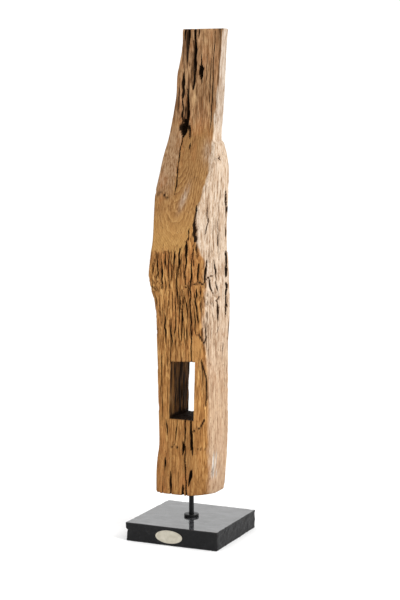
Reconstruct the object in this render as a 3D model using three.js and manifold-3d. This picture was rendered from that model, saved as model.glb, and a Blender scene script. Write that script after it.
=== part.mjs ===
// A weathered length of old hewn timber, shown as a sculpture: it stands on a steel rod over a square slab of
// black stone. Millimetres, +Z up. The origin is the middle of the slab's underside. The side with the name
// plate faces -Y, and the timber's pale, rounded side faces +X.
import * as THREE from "three";
import { mergeVertices } from "three/addons/utils/BufferGeometryUtils.js";
import Module from "manifold-3d";

const wasm = await Module();
wasm.setup();

// Driving dimensions

const SEAT_GAP = 0.3; // kept between pieces that touch on the real thing
const SLAB = { half: 100, front: -98.6, top: 37, arris: 0.8, roughness: 1.6 };
const PLATE = { halfWidth: 29, halfHeight: 13, thickness: 1, x: -4, z: 17.5 };
const ROD = { radius: 5, foot: 2, head: 150 };
const COLLAR = { radius: 15, height: 5, round: 1.2 };
const COUNTERBORE = { radius: 14, depth: 13.5 };
const WASHER = { radius: 12, height: 2 };
const NUT = { acrossFlats: 17, height: 8 };
const BORE_RADIUS = ROD.radius + SEAT_GAP;
const TIMBER = { foot: 91, head: 1013, endRound: 2.5 };
const SLIVER = 0.05; // facets narrower than this, left where two cuts cross, are merged away

// The timber's outlines. Each is a list of [height, place] points, from the foot to the head.

const LEFT = [
  [91, -63], [135, -61], [160, -58.5], [188, -54], [235, -54.5], [330, -57], [430, -59.5], [478, -63.5],
  [500, -70.5], [525, -76], [550, -73.5], [575, -69], [600, -66.5], [650, -68.5], [693, -69.5], [720, -65.5],
  [764, -59.5], [800, -51], [860, -41], [885, -37.8], [925, -36.5], [950, -31.5], [978, -27.5], [1013, -27],
];
const RIGHT = [
  [91, 56], [150, 60.5], [210, 63.5], [330, 64], [380, 63.5], [450, 66.5], [550, 64.5], [600, 60.5],
  [670, 62], [740, 64.5], [765, 60.5], [791, 53.5], [797, 48.5], [860, 52.5], [930, 56.5], [975, 58.3],
  [1013, 61.8],
];
const FRONT = [[91, -52], [200, -49], [330, -48.5], [520, -49.5], [600, -50.5], [700, -50], [1013, -50]];
const BACK = [
  [91, 44], [160, 46], [300, 44.5], [470, 46.5], [560, 45], [680, 46.5], [780, 45.5], [900, 46.5], [1013, 46],
];
// The long hewn cut that thins the timber from its full depth to the tongue at its head.
const SCARF = [
  [560, -53], [590, -45.5], [620, -38], [672, -26.5], [729, -13.3], [783, -1], [830, 5], [1013, 17],
];
// The rounded corner between front and right, where the log's own outside is left: its width, its depth and
// how square it is.
const WANE_WIDTH = [[91, 46], [200, 38], [450, 38], [560, 60], [760, 60], [1013, 60]];
const WANE_DEPTH = [[91, 52], [200, 42], [450, 44], [560, 56], [760, 56], [1013, 56]];
const WANE_POWER = [[91, 1.5], [200, 1.7], [450, 1.6], [560, 1.15], [760, 1.12], [1013, 1.12]];
const FRONT_LEFT_ROUND = [[91, 22], [200, 14], [480, 14], [560, 10], [620, 4], [1013, 3]];
const BACK_ROUND = 9;

// The slot that was chopped right through the timber: its corners, seen from the front, as [x, z].
const MORTISE = [[-26.9, 244], [26.7, 243.5], [29.6, 361.5], [-23.5, 359.5]];

// How many points each stretch of a ring has, from the front round by the right and the back to the left.
const STRETCH = {
  front: 18,
  wane: 11,
  right: 7,
  backRight: 3,
  back: 13,
  backLeft: 3,
  left: 10,
  frontLeft: 4,
};
const RING_STEP = 20;
const EXTRA_RINGS = [791, 797];

// Furrows that weather has worn along the grain: cells round the ring, cell height and depth.
const FLUTES = { cells: 26, height: 150, depth: 2.6, seed: 3 };
const FURROWS = { cells: 35, height: 70, depth: 1.8, seed: 11 };
const FRESH_WEAR = 0.25; // the share of that depth on the scarf and the tongue

// Cracks and rotted gouges as [x, z, width] paths on the front, with their depth.
const FRONT_GOUGES = [
  { depth: 5, path: [[-15, 1020, 4], [-15, 1004, 4.5], [-15, 989, 1]] },
  { depth: 7, path: [[-8, 1020, 5], [-8.5, 1000, 5], [-9, 978, 1]] },
  { depth: 10, path: [[1, 1020, 5], [1, 1000, 5.5], [1, 984, 3]] },
  { depth: 5, path: [[8, 1020, 4], [8, 1010, 3.5], [9, 998, 1]] },
  { depth: 14, path: [[3, 988, 3], [3, 972, 7], [1.5, 940, 7.5], [-1, 918, 6], [-2, 908, 1]] },
  { depth: 13, path: [[15, 964, 1], [15, 943, 3], [15.5, 936, 9], [15.5, 924, 9], [14, 916, 2]] },
  { depth: 9, path: [[-24, 938, 1], [-23, 920, 7], [-21.5, 900, 9], [-21, 880, 5], [-21, 874, 1]] },
  { depth: 6, path: [[-20, 880, 2], [-22.5, 850, 3], [-23, 824, 3]] },
  { depth: 8, path: [[-10.5, 896, 2], [-11, 870, 8], [-12, 830, 9.5], [-14, 806, 5]] },
  { depth: 17, path: [[-21, 834, 3], [-19, 820, 15], [-17, 810, 14], [-15, 799, 3]] },
  { depth: 8, path: [[-4, 827, 2], [-3.5, 812, 5], [-3, 797, 1]] },
  { depth: 9, path: [[-17, 804, 3.5], [-21, 785, 3], [-23, 755, 2.6], [-24.5, 720, 2.2], [-26, 694, 0.8]] },
  { depth: 5, path: [[-3, 788, 1.5], [-2, 783, 4], [-1, 777, 1.5]] },
  { depth: 9, path: [[27, 674, 2], [23.5, 655, 6], [21.5, 630, 7], [22, 606, 7], [23, 586, 2]] },
  { depth: 7, path: [[11, 624, 1.5], [12.5, 612, 4.5], [14, 597, 1.5]] },
  { depth: 6, path: [[10, 598, 1.5], [10, 575, 4], [9.5, 540, 1]] },
  { depth: 7, path: [[20, 552, 1.2], [20, 470, 2.2], [21, 356, 2.2]] },
  { depth: 6, path: [[-44, 565, 1], [-42, 540, 4], [-43, 505, 1.5]] },
  { depth: 6, path: [[-10, 545, 1], [-9, 500, 4], [-8, 470, 1.5]] },
  { depth: 6, path: [[1, 478, 1], [2, 445, 4.5], [-1, 405, 1.5]] },
  { depth: 5, path: [[-24, 440, 1], [-22, 412, 4], [-21, 385, 1.5]] },
  { depth: 5, path: [[31, 500, 1.5], [33, 460, 4], [36, 412, 1.5]] },
  { depth: 9, path: [[20.5, 240, 4], [21.5, 205, 5], [23.5, 186, 6], [25, 172, 1.5]] },
  { depth: 8, path: [[8, 248, 2.5], [8, 180, 2.5], [12, 86, 2.2]] },
  { depth: 7, path: [[1, 198, 1.5], [2, 186, 4.5], [3, 174, 1.5]] },
  { depth: 8, path: [[20, 146, 2], [19, 132, 6.5], [17, 108, 2]] },
  { depth: 8, path: [[6, 114, 2], [6, 100, 7], [6, 84, 6]] },
  { depth: 6, path: [[-23, 140, 1.5], [-23.5, 118, 5.5], [-24, 98, 3]] },
  { depth: 5, path: [[-36, 166, 1.5], [-36, 152, 5], [-36, 138, 1.5]] },
  { depth: 5, path: [[-35, 244, 1], [-33, 230, 4], [-31, 212, 1]] },
  { depth: 5, path: [[31, 366, 1], [39, 372, 4], [45, 360, 2]] },
  { depth: 5, path: [[44, 366, 2], [51, 346, 5], [53, 322, 4], [52, 286, 1]] },
  { depth: 5, path: [[40, 424, 1], [47, 402, 6], [54, 426, 1]] },
];
// The same on the right, as [y, z, width].
const RIGHT_GOUGES = [
  { depth: 11, path: [[28, 514, 2], [26, 490, 6], [24, 468, 6], [23, 452, 1.5]] },
  { depth: 7, path: [[26, 572, 1.5], [27, 545, 4], [31, 516, 2]] },
  { depth: 7, path: [[31, 704, 1.5], [34, 684, 5], [33, 655, 2], [33, 610, 4], [32, 590, 1]] },
  { depth: 5, path: [[-9, 520, 1.5], [-8, 480, 3.5], [-9, 436, 1.5]] },
  { depth: 6, path: [[40, 445, 1.5], [42, 425, 4], [43, 400, 1.5]] },
  { depth: 5, path: [[15, 392, 1.5], [11, 350, 3.5], [7, 306, 1.5]] },
];
// And on the two sides that are turned away: drying cracks and rot channels like those in front.
const BACK_GOUGES = [
  { depth: 12, path: [[10, 700, 1.5], [8, 640, 5], [12, 560, 7], [9, 500, 5], [10, 440, 1.5]] },
  { depth: 9, path: [[-30, 620, 1.5], [-33, 570, 6], [-31, 520, 1.5]] },
  { depth: 10, path: [[30, 1020, 5], [29, 960, 6], [31, 880, 1.5]] },
  { depth: 8, path: [[-8, 910, 1.5], [-6, 860, 6], [-9, 800, 6], [-10, 760, 1.5]] },
  { depth: 9, path: [[-2, 240, 3], [-4, 180, 5], [-3, 84, 4]] },
  { depth: 7, path: [[36, 330, 1.5], [38, 270, 5], [36, 200, 1.5]] },
  { depth: 7, path: [[-42, 200, 1.5], [-40, 150, 6], [-41, 84, 4]] },
];
const LEFT_GOUGES = [
  { depth: 9, path: [[6, 560, 1.5], [4, 500, 6], [6, 430, 6], [5, 360, 1.5]] },
  { depth: 7, path: [[-22, 420, 1.5], [-24, 350, 5], [-23, 290, 1.5]] },
  { depth: 8, path: [[24, 720, 1.5], [22, 650, 6], [24, 600, 1.5]] },
  { depth: 8, path: [[20, 240, 1.5], [18, 160, 6], [20, 84, 5]] },
  { depth: 6, path: [[-10, 190, 1.5], [-12, 130, 5], [-11, 84, 3]] },
];

// Chips out of the slab's edges, as [x, y, z, radius].
const CHIPS = [
  [-102.5, -101.5, 14, 5.5], [-103, -101, 24, 5], [-101, -100.5, 2, 3.5], [-104, -60, 38.5, 5.5],
  [-60, -102.5, -1, 5], [101.5, -100.5, 39, 3.2], [103, -40, -1, 4.8], [30, 102.5, 38.5, 4.5],
  [-103, 45, -1.5, 5], [102.5, 102, 12, 5],
];

// Finishes

function material(color, roughness, metalness = 0) {
  return new THREE.MeshStandardMaterial({ color, roughness, metalness });
}
const WEATHERED_WOOD = material("#a87e54", 0.85);
const BLACK_STONE = material("#2a2a2c", 0.25);
const BLACK_STEEL = material("#121213", 0.45, 0.6);
const ZINC_STEEL = material("#9a9c9f", 0.4, 0.9);
const PLATE_METAL = material("#cfc6ae", 0.35, 0.85);

// Small mathematics

const clamp = (value, low, high) => Math.min(high, Math.max(low, value));
const mix = (a, b, t) => a + (b - a) * t;
const smooth = (t) => t * t * (3 - 2 * t);

// A smooth curve through [height, value] points, read at a height.
function along(points, height) {
  const last = points.length - 1;
  const z = clamp(height, points[0][0], points[last][0]);
  const i = clamp(points.findIndex((p) => p[0] > z) - 1, 0, last - 1);
  const start = z >= points[last][0] ? last - 1 : i;
  const [z0, a] = points[start];
  const [z1, b] = points[start + 1];
  const slope = (k) => {
    const [low, high] = [points[Math.max(k - 1, 0)], points[Math.min(k + 1, last)]];
    return (high[1] - low[1]) / (high[0] - low[0]);
  };
  const span = z1 - z0;
  const t = (z - z0) / span;
  const bend = t * (1 - t) * span;
  return mix(a, b, smooth(t)) + bend * ((1 - t) * slope(start) - t * slope(start + 1));
}

const scatter = (i, j, seed) => {
  const s = Math.sin(i * 127.1 + j * 311.7 + seed * 74.7) * 43758.5453;
  return s - Math.floor(s);
};

// Smooth noise from 0 to 1 on a lattice that closes on itself after `cells` steps across.
function latticeNoise(across, up, cells, seed) {
  const [i, j] = [Math.floor(across), Math.floor(up)];
  const [s, t] = [smooth(across - i), smooth(up - j)];
  const at = (di, dj) => scatter((i + di + cells) % cells, j + dj, seed);
  return mix(mix(at(0, 0), at(1, 0), s), mix(at(0, 1), at(1, 1), s), t);
}

// Solids

// A closed three.js geometry as a manifold solid.
function solid(geometry) {
  const bare = geometry.clone();
  bare.deleteAttribute("normal");
  bare.deleteAttribute("uv");
  const merged = mergeVertices(bare, 1e-4);
  return new wasm.Manifold(
    new wasm.Mesh({
      numProp: 3,
      vertProperties: new Float32Array(merged.attributes.position.array),
      triVerts: new Uint32Array(merged.index.array),
    }),
  );
}

// A manifold solid as a named three.js mesh.
function part(name, body, finish) {
  const { vertProperties, triVerts, numProp } = body.getMesh();
  const position = new THREE.BufferAttribute(new Float32Array(vertProperties), numProp);
  const geometry = new THREE.BufferGeometry().setAttribute("position", position);
  geometry.setIndex(new THREE.BufferAttribute(new Uint32Array(triVerts), 1));
  geometry.computeVertexNormals();
  const mesh = new THREE.Mesh(geometry, finish);
  mesh.name = name;
  return mesh;
}

// A closed skin over rings of points, one above the other. A fan from the ring's middle closes each end.
function loft(rings) {
  const columns = rings[0].length;
  const position = rings.flat().flatMap((p) => [p.x, p.y, p.z]);
  const index = [];
  for (let r = 0; r + 1 < rings.length; r++) {
    for (let c = 0; c < columns; c++) {
      const [a, b] = [r * columns + c, r * columns + ((c + 1) % columns)];
      index.push(a, b, b + columns, a, b + columns, a + columns);
    }
  }
  const cap = (ring, offset, up) => {
    const middle = ring.reduce((sum, p) => sum.add(p), new THREE.Vector3()).divideScalar(columns);
    const centre = position.length / 3;
    position.push(middle.x, middle.y, middle.z);
    for (let c = 0; c < columns; c++) {
      const next = (c + 1) % columns;
      index.push(centre, offset + (up ? c : next), offset + (up ? next : c));
    }
  };
  cap(rings[0], 0, false);
  cap(rings[rings.length - 1], (rings.length - 1) * columns, true);
  const geometry = new THREE.BufferGeometry();
  geometry.setAttribute("position", new THREE.Float32BufferAttribute(position, 3));
  return solid(geometry.setIndex(index));
}

// An upright cylinder between two heights.
function cylinder(radius, low, high, sides = 32) {
  const geometry = new THREE.CylinderGeometry(radius, radius, high - low, sides).rotateX(Math.PI / 2);
  return solid(geometry.translate(0, 0, (low + high) / 2));
}

// The timber

// Where the front is at a height: the hewn face, or the scarf where that is cut deeper.
const frontAt = (z) => (z < SCARF[0][0] ? along(FRONT, z) : Math.max(along(FRONT, z), along(SCARF, z)));

// One of the timber's rings as THREE.Vector3 points, before any weathering.
function ring(z) {
  const [left, right, back, front] = [along(LEFT, z), along(RIGHT, z), along(BACK, z), frontAt(z)];
  const corner = Math.min(along(FRONT_LEFT_ROUND, z), (back - front) / 4);
  const [width, depth, power] = [along(WANE_WIDTH, z), along(WANE_DEPTH, z), 2 / along(WANE_POWER, z)];
  // The scarf cuts the wane's arc short, down to a worn arris.
  const reach = Math.max(along(FRONT, z) + depth - front, 2);
  const share = Math.min(reach / depth, 1);
  const end = Math.asin(share ** (1 / power));
  const onWane = (angle) => [
    right - width * (1 - Math.cos(angle) ** power),
    front + reach - depth * Math.sin(angle) ** power,
  ];
  const round = (x, y, from, radius) => (t) => {
    const angle = from + (t * Math.PI) / 2;
    return [x + radius * Math.cos(angle), y + radius * Math.sin(angle)];
  };
  const straight = (a, b) => (t) => [mix(a[0], b[0], t), mix(a[1], b[1], t)];
  const stretches = {
    front: straight([left + corner, front], onWane(end)),
    wane: (t) => onWane(end * (1 - t)),
    right: straight([right, front + reach], [right, back - BACK_ROUND]),
    backRight: round(right - BACK_ROUND, back - BACK_ROUND, 0, BACK_ROUND),
    back: straight([right - BACK_ROUND, back], [left + BACK_ROUND, back]),
    backLeft: round(left + BACK_ROUND, back - BACK_ROUND, Math.PI / 2, BACK_ROUND),
    left: straight([left, back - BACK_ROUND], [left, front + corner]),
    frontLeft: round(left + corner, front + corner, Math.PI, corner),
  };
  return Object.entries(STRETCH).flatMap(([name, count]) =>
    Array.from({ length: count }, (_, i) => new THREE.Vector3(...stretches[name](i / count), z)),
  );
}

// How far weather has worn the timber in there, or left it proud: little on the fresher scarf and tongue.
function wear(column, columns, z) {
  const fresher = (from, to) => mix(1, FRESH_WEAR, smooth(clamp((z - from) / (to - from), 0, 1)));
  const { front, wane, right } = STRETCH;
  // The wane narrows to an arris as the scarf meets it, so its relief fades with it.
  const narrowing = clamp((along(FRONT, z) + along(WANE_DEPTH, z) - frontAt(z)) / 30, 0, 1);
  let roughness = fresher(780, 820);
  if (column <= front) roughness = fresher(560, 600);
  else if (column < front + wane) roughness = narrowing;
  else if (column < front + wane + right) roughness = fresher(740, 780);
  const worn = ({ cells, height, depth, seed }) =>
    depth * (latticeNoise((column / columns) * cells, z / height, cells, seed) - 0.5);
  return roughness * (worn(FLUTES) + worn(FURROWS));
}

// A ring pushed in along its own normals by a depth for each column.
function pushIn(points, depthOf) {
  const count = points.length;
  return points.map((p, i) => {
    const [previous, next] = [points[(i + count - 1) % count], points[(i + 1) % count]];
    const tangent = new THREE.Vector3().subVectors(next, previous);
    const outward = new THREE.Vector3(tangent.y, -tangent.x, 0).normalize();
    return p.clone().addScaledVector(outward, -depthOf(i));
  });
}

function ringHeights() {
  const { foot, head, endRound } = TIMBER;
  const count = Math.round((head - foot - 2 * endRound) / RING_STEP);
  const [low, high] = [foot + endRound, head - endRound];
  const even = Array.from({ length: count + 1 }, (_, i) => mix(low, high, i / count));
  const clear = even.filter((z) => EXTRA_RINGS.every((extra) => Math.abs(extra - z) > 3));
  return [foot, ...clear, ...EXTRA_RINGS, head].sort((a, b) => a - b);
}

function weatheredTimber() {
  const heights = ringHeights();
  const rings = heights.map((z) => {
    const points = ring(z);
    const atEnd = z === TIMBER.foot || z === TIMBER.head ? TIMBER.endRound : 0;
    return pushIn(points, (column) => atEnd * 0.7 + wear(column, points.length, z));
  });
  return loft(rings);
}

// A wedge-shaped cutter along a path on one face. `place` turns a place across the face, a height and a lift
// off the face into a point.
function gouge({ path, depth }, place) {
  const widest = Math.max(...path.map((p) => p[2]));
  const above = 8;
  const rings = [];
  path.forEach(([across, z, width]) => {
    const share = Math.sqrt(width / widest);
    const half = (width / 2) * (1 + above / depth);
    const bottom = place(across, z, -depth * share);
    rings.push([place(across - half, z, above), bottom, place(across + half, z, above)]);
  });
  const position = rings.flat().flatMap((p) => [p.x, p.y, p.z]);
  const index = [0, 1, 2];
  for (let r = 0; r + 1 < rings.length; r++) {
    for (let c = 0; c < 3; c++) {
      const [a, b] = [3 * r + c, 3 * r + ((c + 1) % 3)];
      index.push(a, a + 3, b + 3, a, b + 3, b);
    }
  }
  const tail = 3 * (rings.length - 1);
  index.push(tail, tail + 2, tail + 1);
  const geometry = new THREE.BufferGeometry();
  geometry.setAttribute("position", new THREE.Float32BufferAttribute(position, 3));
  const made = solid(geometry.setIndex(index));
  if (made.volume() > 0) return made;
  index.reverse();
  return solid(geometry.setIndex(index));
}

// How far back the surface lies at a place on the front, with the wane on its right.
function frontSurface(x, z) {
  const points = ring(clamp(z, TIMBER.foot, TIMBER.head)).slice(0, STRETCH.front + STRETCH.wane + 1);
  const next = points.findIndex((p) => p.x > x);
  if (next < 1) return points[0].y;
  const [a, b] = [points[next - 1], points[next]];
  return mix(a.y, b.y, (x - a.x) / (b.x - a.x));
}

function gouges() {
  const onFront = (x, z, lift) => new THREE.Vector3(x, frontSurface(x, z) - lift, z);
  const onRight = (y, z, lift) => new THREE.Vector3(along(RIGHT, z) + lift, y, z);
  const onBack = (x, z, lift) => new THREE.Vector3(x, along(BACK, z) + lift, z);
  const onLeft = (y, z, lift) => new THREE.Vector3(along(LEFT, z) - lift, y, z);
  return [
    ...FRONT_GOUGES.map((g) => gouge(g, onFront)),
    ...RIGHT_GOUGES.map((g) => gouge(g, onRight)),
    ...BACK_GOUGES.map((g) => gouge(g, onBack)),
    ...LEFT_GOUGES.map((g) => gouge(g, onLeft)),
  ];
}

function mortise() {
  const outline = new THREE.Shape(MORTISE.map(([x, z]) => new THREE.Vector2(x, z)));
  const length = 2 * SLAB.half;
  const geometry = new THREE.ExtrudeGeometry(outline, { depth: length, bevelEnabled: false });
  return solid(geometry.rotateX(Math.PI / 2).translate(0, length / 2, 0));
}

// What the cracks cut loose has fallen off, so only the largest piece is kept.
function driftwood() {
  const drilled = cylinder(BORE_RADIUS, TIMBER.foot - 5, ROD.head + 0.5, 24);
  const cutters = wasm.Manifold.union([mortise(), drilled, ...gouges()]);
  const pieces = weatheredTimber().subtract(cutters).simplify(SLIVER).decompose();
  return pieces.sort((a, b) => b.volume() - a.volume())[0];
}

// The stand

// The slab is polished above and sawn below. Its sides are split stone and rough, except that the front is
// flat to carry the name plate.
function stoneBase() {
  const { half, front, top, arris, roughness } = SLAB;
  const corners = [[-half, front], [half, front], [half, half], [-half, half]];
  const inwards = [[0, 1], [-1, 0], [0, -1], [1, 0]];
  const steps = 16;
  const heights = [0, arris, 9, 18, 27, top - arris, top];
  const rings = heights.map((z) => {
    const edge = z === 0 || z === top ? arris : 0;
    return corners.flatMap(([x, y], side) => {
      const [nextX, nextY] = corners[(side + 1) % 4];
      return Array.from({ length: steps }, (_, i) => {
        const split = side > 0 && i > 0 && z > arris && z < top - arris;
        const inward = split ? roughness * latticeNoise(side * steps + i, z / 9, 4 * steps, 5) : 0;
        const px = mix(x, nextX, i / steps) + inwards[side][0] * inward;
        const py = mix(y, nextY, i / steps) + inwards[side][1] * inward;
        const far = half - edge;
        return new THREE.Vector3(clamp(px, -far, far), clamp(py, front + edge, far), z);
      });
    });
  });
  const bore = cylinder(BORE_RADIUS, -1, top + 1, 24);
  const counterbore = cylinder(COUNTERBORE.radius, -1, COUNTERBORE.depth, 32);
  const chips = CHIPS.map(([x, y, z, radius]) => wasm.Manifold.sphere(radius, 12).translate(x, y, z));
  return loft(rings).subtract(wasm.Manifold.union([bore, counterbore, ...chips]));
}

function collar() {
  const { radius, height, round } = COLLAR;
  const profile = [
    [BORE_RADIUS, 0], [radius - round, 0], [radius, round], [radius, height - round],
    [radius - round, height], [BORE_RADIUS, height], [BORE_RADIUS, 0],
  ].map(([r, z]) => new THREE.Vector2(r, z));
  const geometry = new THREE.LatheGeometry(profile, 32).rotateX(Math.PI / 2);
  return solid(geometry.translate(0, 0, SLAB.top + SEAT_GAP));
}

// A washer and a nut hide in the counterbore and clamp the rod to the slab.
const WASHER_TOP = COUNTERBORE.depth - SEAT_GAP;
const NUT_TOP = WASHER_TOP - WASHER.height - SEAT_GAP;

function washer() {
  const disc = cylinder(WASHER.radius, WASHER_TOP - WASHER.height, WASHER_TOP);
  return disc.subtract(cylinder(BORE_RADIUS, 0, COUNTERBORE.depth, 24));
}

function nut() {
  const hexagon = cylinder(NUT.acrossFlats / Math.sqrt(3), NUT_TOP - NUT.height, NUT_TOP, 6);
  return hexagon.subtract(cylinder(BORE_RADIUS, 0, COUNTERBORE.depth, 24));
}

function namePlate() {
  const outline = new THREE.Shape().absellipse(0, 0, PLATE.halfWidth, PLATE.halfHeight, 0, 2 * Math.PI);
  const options = { depth: PLATE.thickness, bevelEnabled: false, curveSegments: 24 };
  const geometry = new THREE.ExtrudeGeometry(outline, options);
  return solid(geometry.rotateX(Math.PI / 2).translate(PLATE.x, SLAB.front - SEAT_GAP, PLATE.z));
}

const sculpture = new THREE.Group();
sculpture.add(
  part("driftwood", driftwood(), WEATHERED_WOOD),
  part("stone_base", stoneBase(), BLACK_STONE),
  part("support_rod", cylinder(ROD.radius, ROD.foot, ROD.head, 24), BLACK_STEEL),
  part("rod_collar", collar(), BLACK_STEEL),
  part("base_washer", washer(), ZINC_STEEL),
  part("base_nut", nut(), ZINC_STEEL),
  part("name_plate", namePlate(), PLATE_METAL),
);

export default sculpture;
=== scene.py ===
# %% [markdown]
# # A weathered timber on a black stone foot
#
# This notebook dresses a packed CAD model of a sculpture: an old hewn timber, bleached by sun and
# furrowed by weather, that stands on a steel rod over a slab of black stone. The CAD model is opened
# first and stays where it is. Each piece is then made again in finer detail in the same place, in metres,
# +Z up.

# %% Open the frame
import math

import bpy
import numpy as np
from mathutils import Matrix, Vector


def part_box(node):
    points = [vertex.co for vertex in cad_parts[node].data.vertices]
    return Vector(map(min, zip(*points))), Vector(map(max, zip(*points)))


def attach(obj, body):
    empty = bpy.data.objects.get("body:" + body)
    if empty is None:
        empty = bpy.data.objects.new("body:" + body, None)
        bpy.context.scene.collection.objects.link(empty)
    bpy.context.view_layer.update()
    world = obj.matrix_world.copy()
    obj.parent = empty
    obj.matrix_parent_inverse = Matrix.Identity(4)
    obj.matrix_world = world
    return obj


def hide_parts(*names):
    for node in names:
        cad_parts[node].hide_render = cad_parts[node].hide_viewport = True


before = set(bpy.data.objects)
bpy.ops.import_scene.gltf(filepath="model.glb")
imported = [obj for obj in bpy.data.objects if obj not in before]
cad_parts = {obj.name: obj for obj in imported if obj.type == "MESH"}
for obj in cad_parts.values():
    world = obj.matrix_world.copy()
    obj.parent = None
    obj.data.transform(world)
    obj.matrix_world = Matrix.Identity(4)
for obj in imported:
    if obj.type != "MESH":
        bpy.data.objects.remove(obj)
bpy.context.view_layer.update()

# %% [markdown]
# ## The timber's outlines
#
# The timber is one long body whose section changes all the way up: a deep block below, a long sloping cut
# (the scarf) that thins it, and a flat tongue at its head. One corner, the wane, still has the log's own
# round. A list of [height, place] points in millimetres describes each side, and a smooth curve runs
# through each list. The numbers are the CAD model's own, so the fine skin lies on the solid.

# %% Outlines in millimetres
FOOT, HEAD, END_ROUND = 91, 1013, 2.5
LEFT = [
    [91, -63], [135, -61], [160, -58.5], [188, -54], [235, -54.5], [330, -57], [430, -59.5],
    [478, -63.5], [500, -70.5], [525, -76], [550, -73.5], [575, -69], [600, -66.5], [650, -68.5],
    [693, -69.5], [720, -65.5], [764, -59.5], [800, -51], [860, -41], [885, -37.8], [925, -36.5],
    [950, -31.5], [978, -27.5], [1013, -27],
]
RIGHT = [
    [91, 56], [150, 60.5], [210, 63.5], [330, 64], [380, 63.5], [450, 66.5], [550, 64.5], [600, 60.5],
    [670, 62], [740, 64.5], [765, 60.5], [791, 53.5], [797, 48.5], [860, 52.5], [930, 56.5], [975, 58.3],
    [1013, 61.8],
]
FRONT = [[91, -52], [200, -49], [330, -48.5], [520, -49.5], [600, -50.5], [700, -50], [1013, -50]]
BACK = [
    [91, 44], [160, 46], [300, 44.5], [470, 46.5], [560, 45], [680, 46.5], [780, 45.5], [900, 46.5],
    [1013, 46],
]
SCARF = [[560, -53], [590, -45.5], [620, -38], [672, -26.5], [729, -13.3], [783, -1], [830, 5], [1013, 17]]
WANE_WIDTH = [[91, 46], [200, 38], [450, 38], [560, 60], [760, 60], [1013, 60]]
WANE_DEPTH = [[91, 52], [200, 42], [450, 44], [560, 56], [760, 56], [1013, 56]]
WANE_POWER = [[91, 1.5], [200, 1.7], [450, 1.6], [560, 1.15], [760, 1.12], [1013, 1.12]]
FRONT_LEFT_ROUND = [[91, 22], [200, 14], [480, 14], [560, 10], [620, 4], [1013, 3]]
BACK_ROUND = 9
MORTISE = [[-26.9, 244], [26.7, 243.5], [29.6, 361.5], [-23.5, 359.5]]


def ease(t):
    return t * t * (3 - 2 * t)


def step(low, high, value):
    return ease(np.clip((value - low) / (high - low), 0, 1))


def along(points, height):
    z, v = np.array(points, float).T
    own = np.arange(len(z))
    low, high = np.maximum(own - 1, 0), np.minimum(own + 1, len(z) - 1)
    slope = (v[high] - v[low]) / (z[high] - z[low])
    h = np.clip(height, z[0], z[-1])
    i = np.clip(np.searchsorted(z, h, side="right") - 1, 0, len(z) - 2)
    span = z[i + 1] - z[i]
    t = (h - z[i]) / span
    bend = t * (1 - t) * span
    return v[i] + (v[i + 1] - v[i]) * ease(t) + bend * ((1 - t) * slope[i] - t * slope[i + 1])


def front_at(z):
    hewn = along(FRONT, z)
    return np.where(z < SCARF[0][0], hewn, np.maximum(hewn, along(SCARF, z)))


KNOT_HEIGHT = 525
knot_left, knot_right = (along(side, KNOT_HEIGHT).round(1) for side in (LEFT, RIGHT))
print("the timber at its knot runs from", knot_left, "to", knot_right, "mm")

# %% [markdown]
# ## A fine net of points on those outlines
#
# To carve cracks of two millimetres, the net needs a column about every millimetre round the timber,
# closer in front where most of the cracks are. Along the grain a ring every four or five millimetres is
# enough, and a ring every three where checks cross the grain.

# %% The net
COLUMNS = {
    "front": 122, "wane": 84, "right": 48, "back_right": 9,
    "back": 68, "back_left": 9, "left": 52, "front_left": 18,
}
# From this height to that height, a ring every so many millimetres.
RINGS = [(FOOT + END_ROUND, 470, 5.2), (470, 620, 3.0), (620, 770, 5.2), (770, 800, 3.0), (800, 1010.5, 4.2)]
END_RING = 0.7


def ring_heights():
    inner = np.concatenate([np.arange(*span) for span in RINGS])
    return np.array([FOOT, FOOT + END_RING, *inner, HEAD - END_ROUND, HEAD - END_RING, HEAD])


def net(z):
    z = z[:, None]
    left, right, back, front = along(LEFT, z), along(RIGHT, z), along(BACK, z), front_at(z)
    corner = np.minimum(along(FRONT_LEFT_ROUND, z), (back - front) / 4)
    width, depth, power = along(WANE_WIDTH, z), along(WANE_DEPTH, z), 2 / along(WANE_POWER, z)
    reach = np.maximum(along(FRONT, z) + depth - front, 2)
    end = np.arcsin(np.minimum(reach / depth, 1) ** (1 / power))

    def wane(angle):
        cos, sin = np.maximum(np.cos(angle), 0) ** power, np.sin(angle) ** power
        return right - width * (1 - cos), front + reach - depth * sin

    def bow(x, y, quarter, radius=BACK_ROUND):
        def spot(t):
            angle = (quarter + t) * np.pi / 2
            return x + radius * np.cos(angle), y + radius * np.sin(angle)
        return spot

    def line(a, b):
        return lambda t: (a[0] + (b[0] - a[0]) * t, a[1] + (b[1] - a[1]) * t)

    shapes = {
        "front": line((left + corner, front), wane(end)),
        "wane": lambda t: wane(end * (1 - t)),
        "right": line((right, front + reach), (right, back - BACK_ROUND)),
        "back_right": bow(right - BACK_ROUND, back - BACK_ROUND, 0),
        "back": line((right - BACK_ROUND, back), (left + BACK_ROUND, back)),
        "back_left": bow(left + BACK_ROUND, back - BACK_ROUND, 1),
        "left": line((left, back - BACK_ROUND), (left, front + corner)),
        "front_left": bow(left + corner, front + corner, 2, corner),
    }
    sides = [shapes[name](np.arange(count)[None, :] / count) for name, count in COLUMNS.items()]
    flat = np.concatenate([np.stack(np.broadcast_arrays(*side), -1) for side in sides], 1)
    return np.concatenate([flat, np.broadcast_to(z[..., None], flat.shape[:2] + (1,))], -1)


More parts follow.
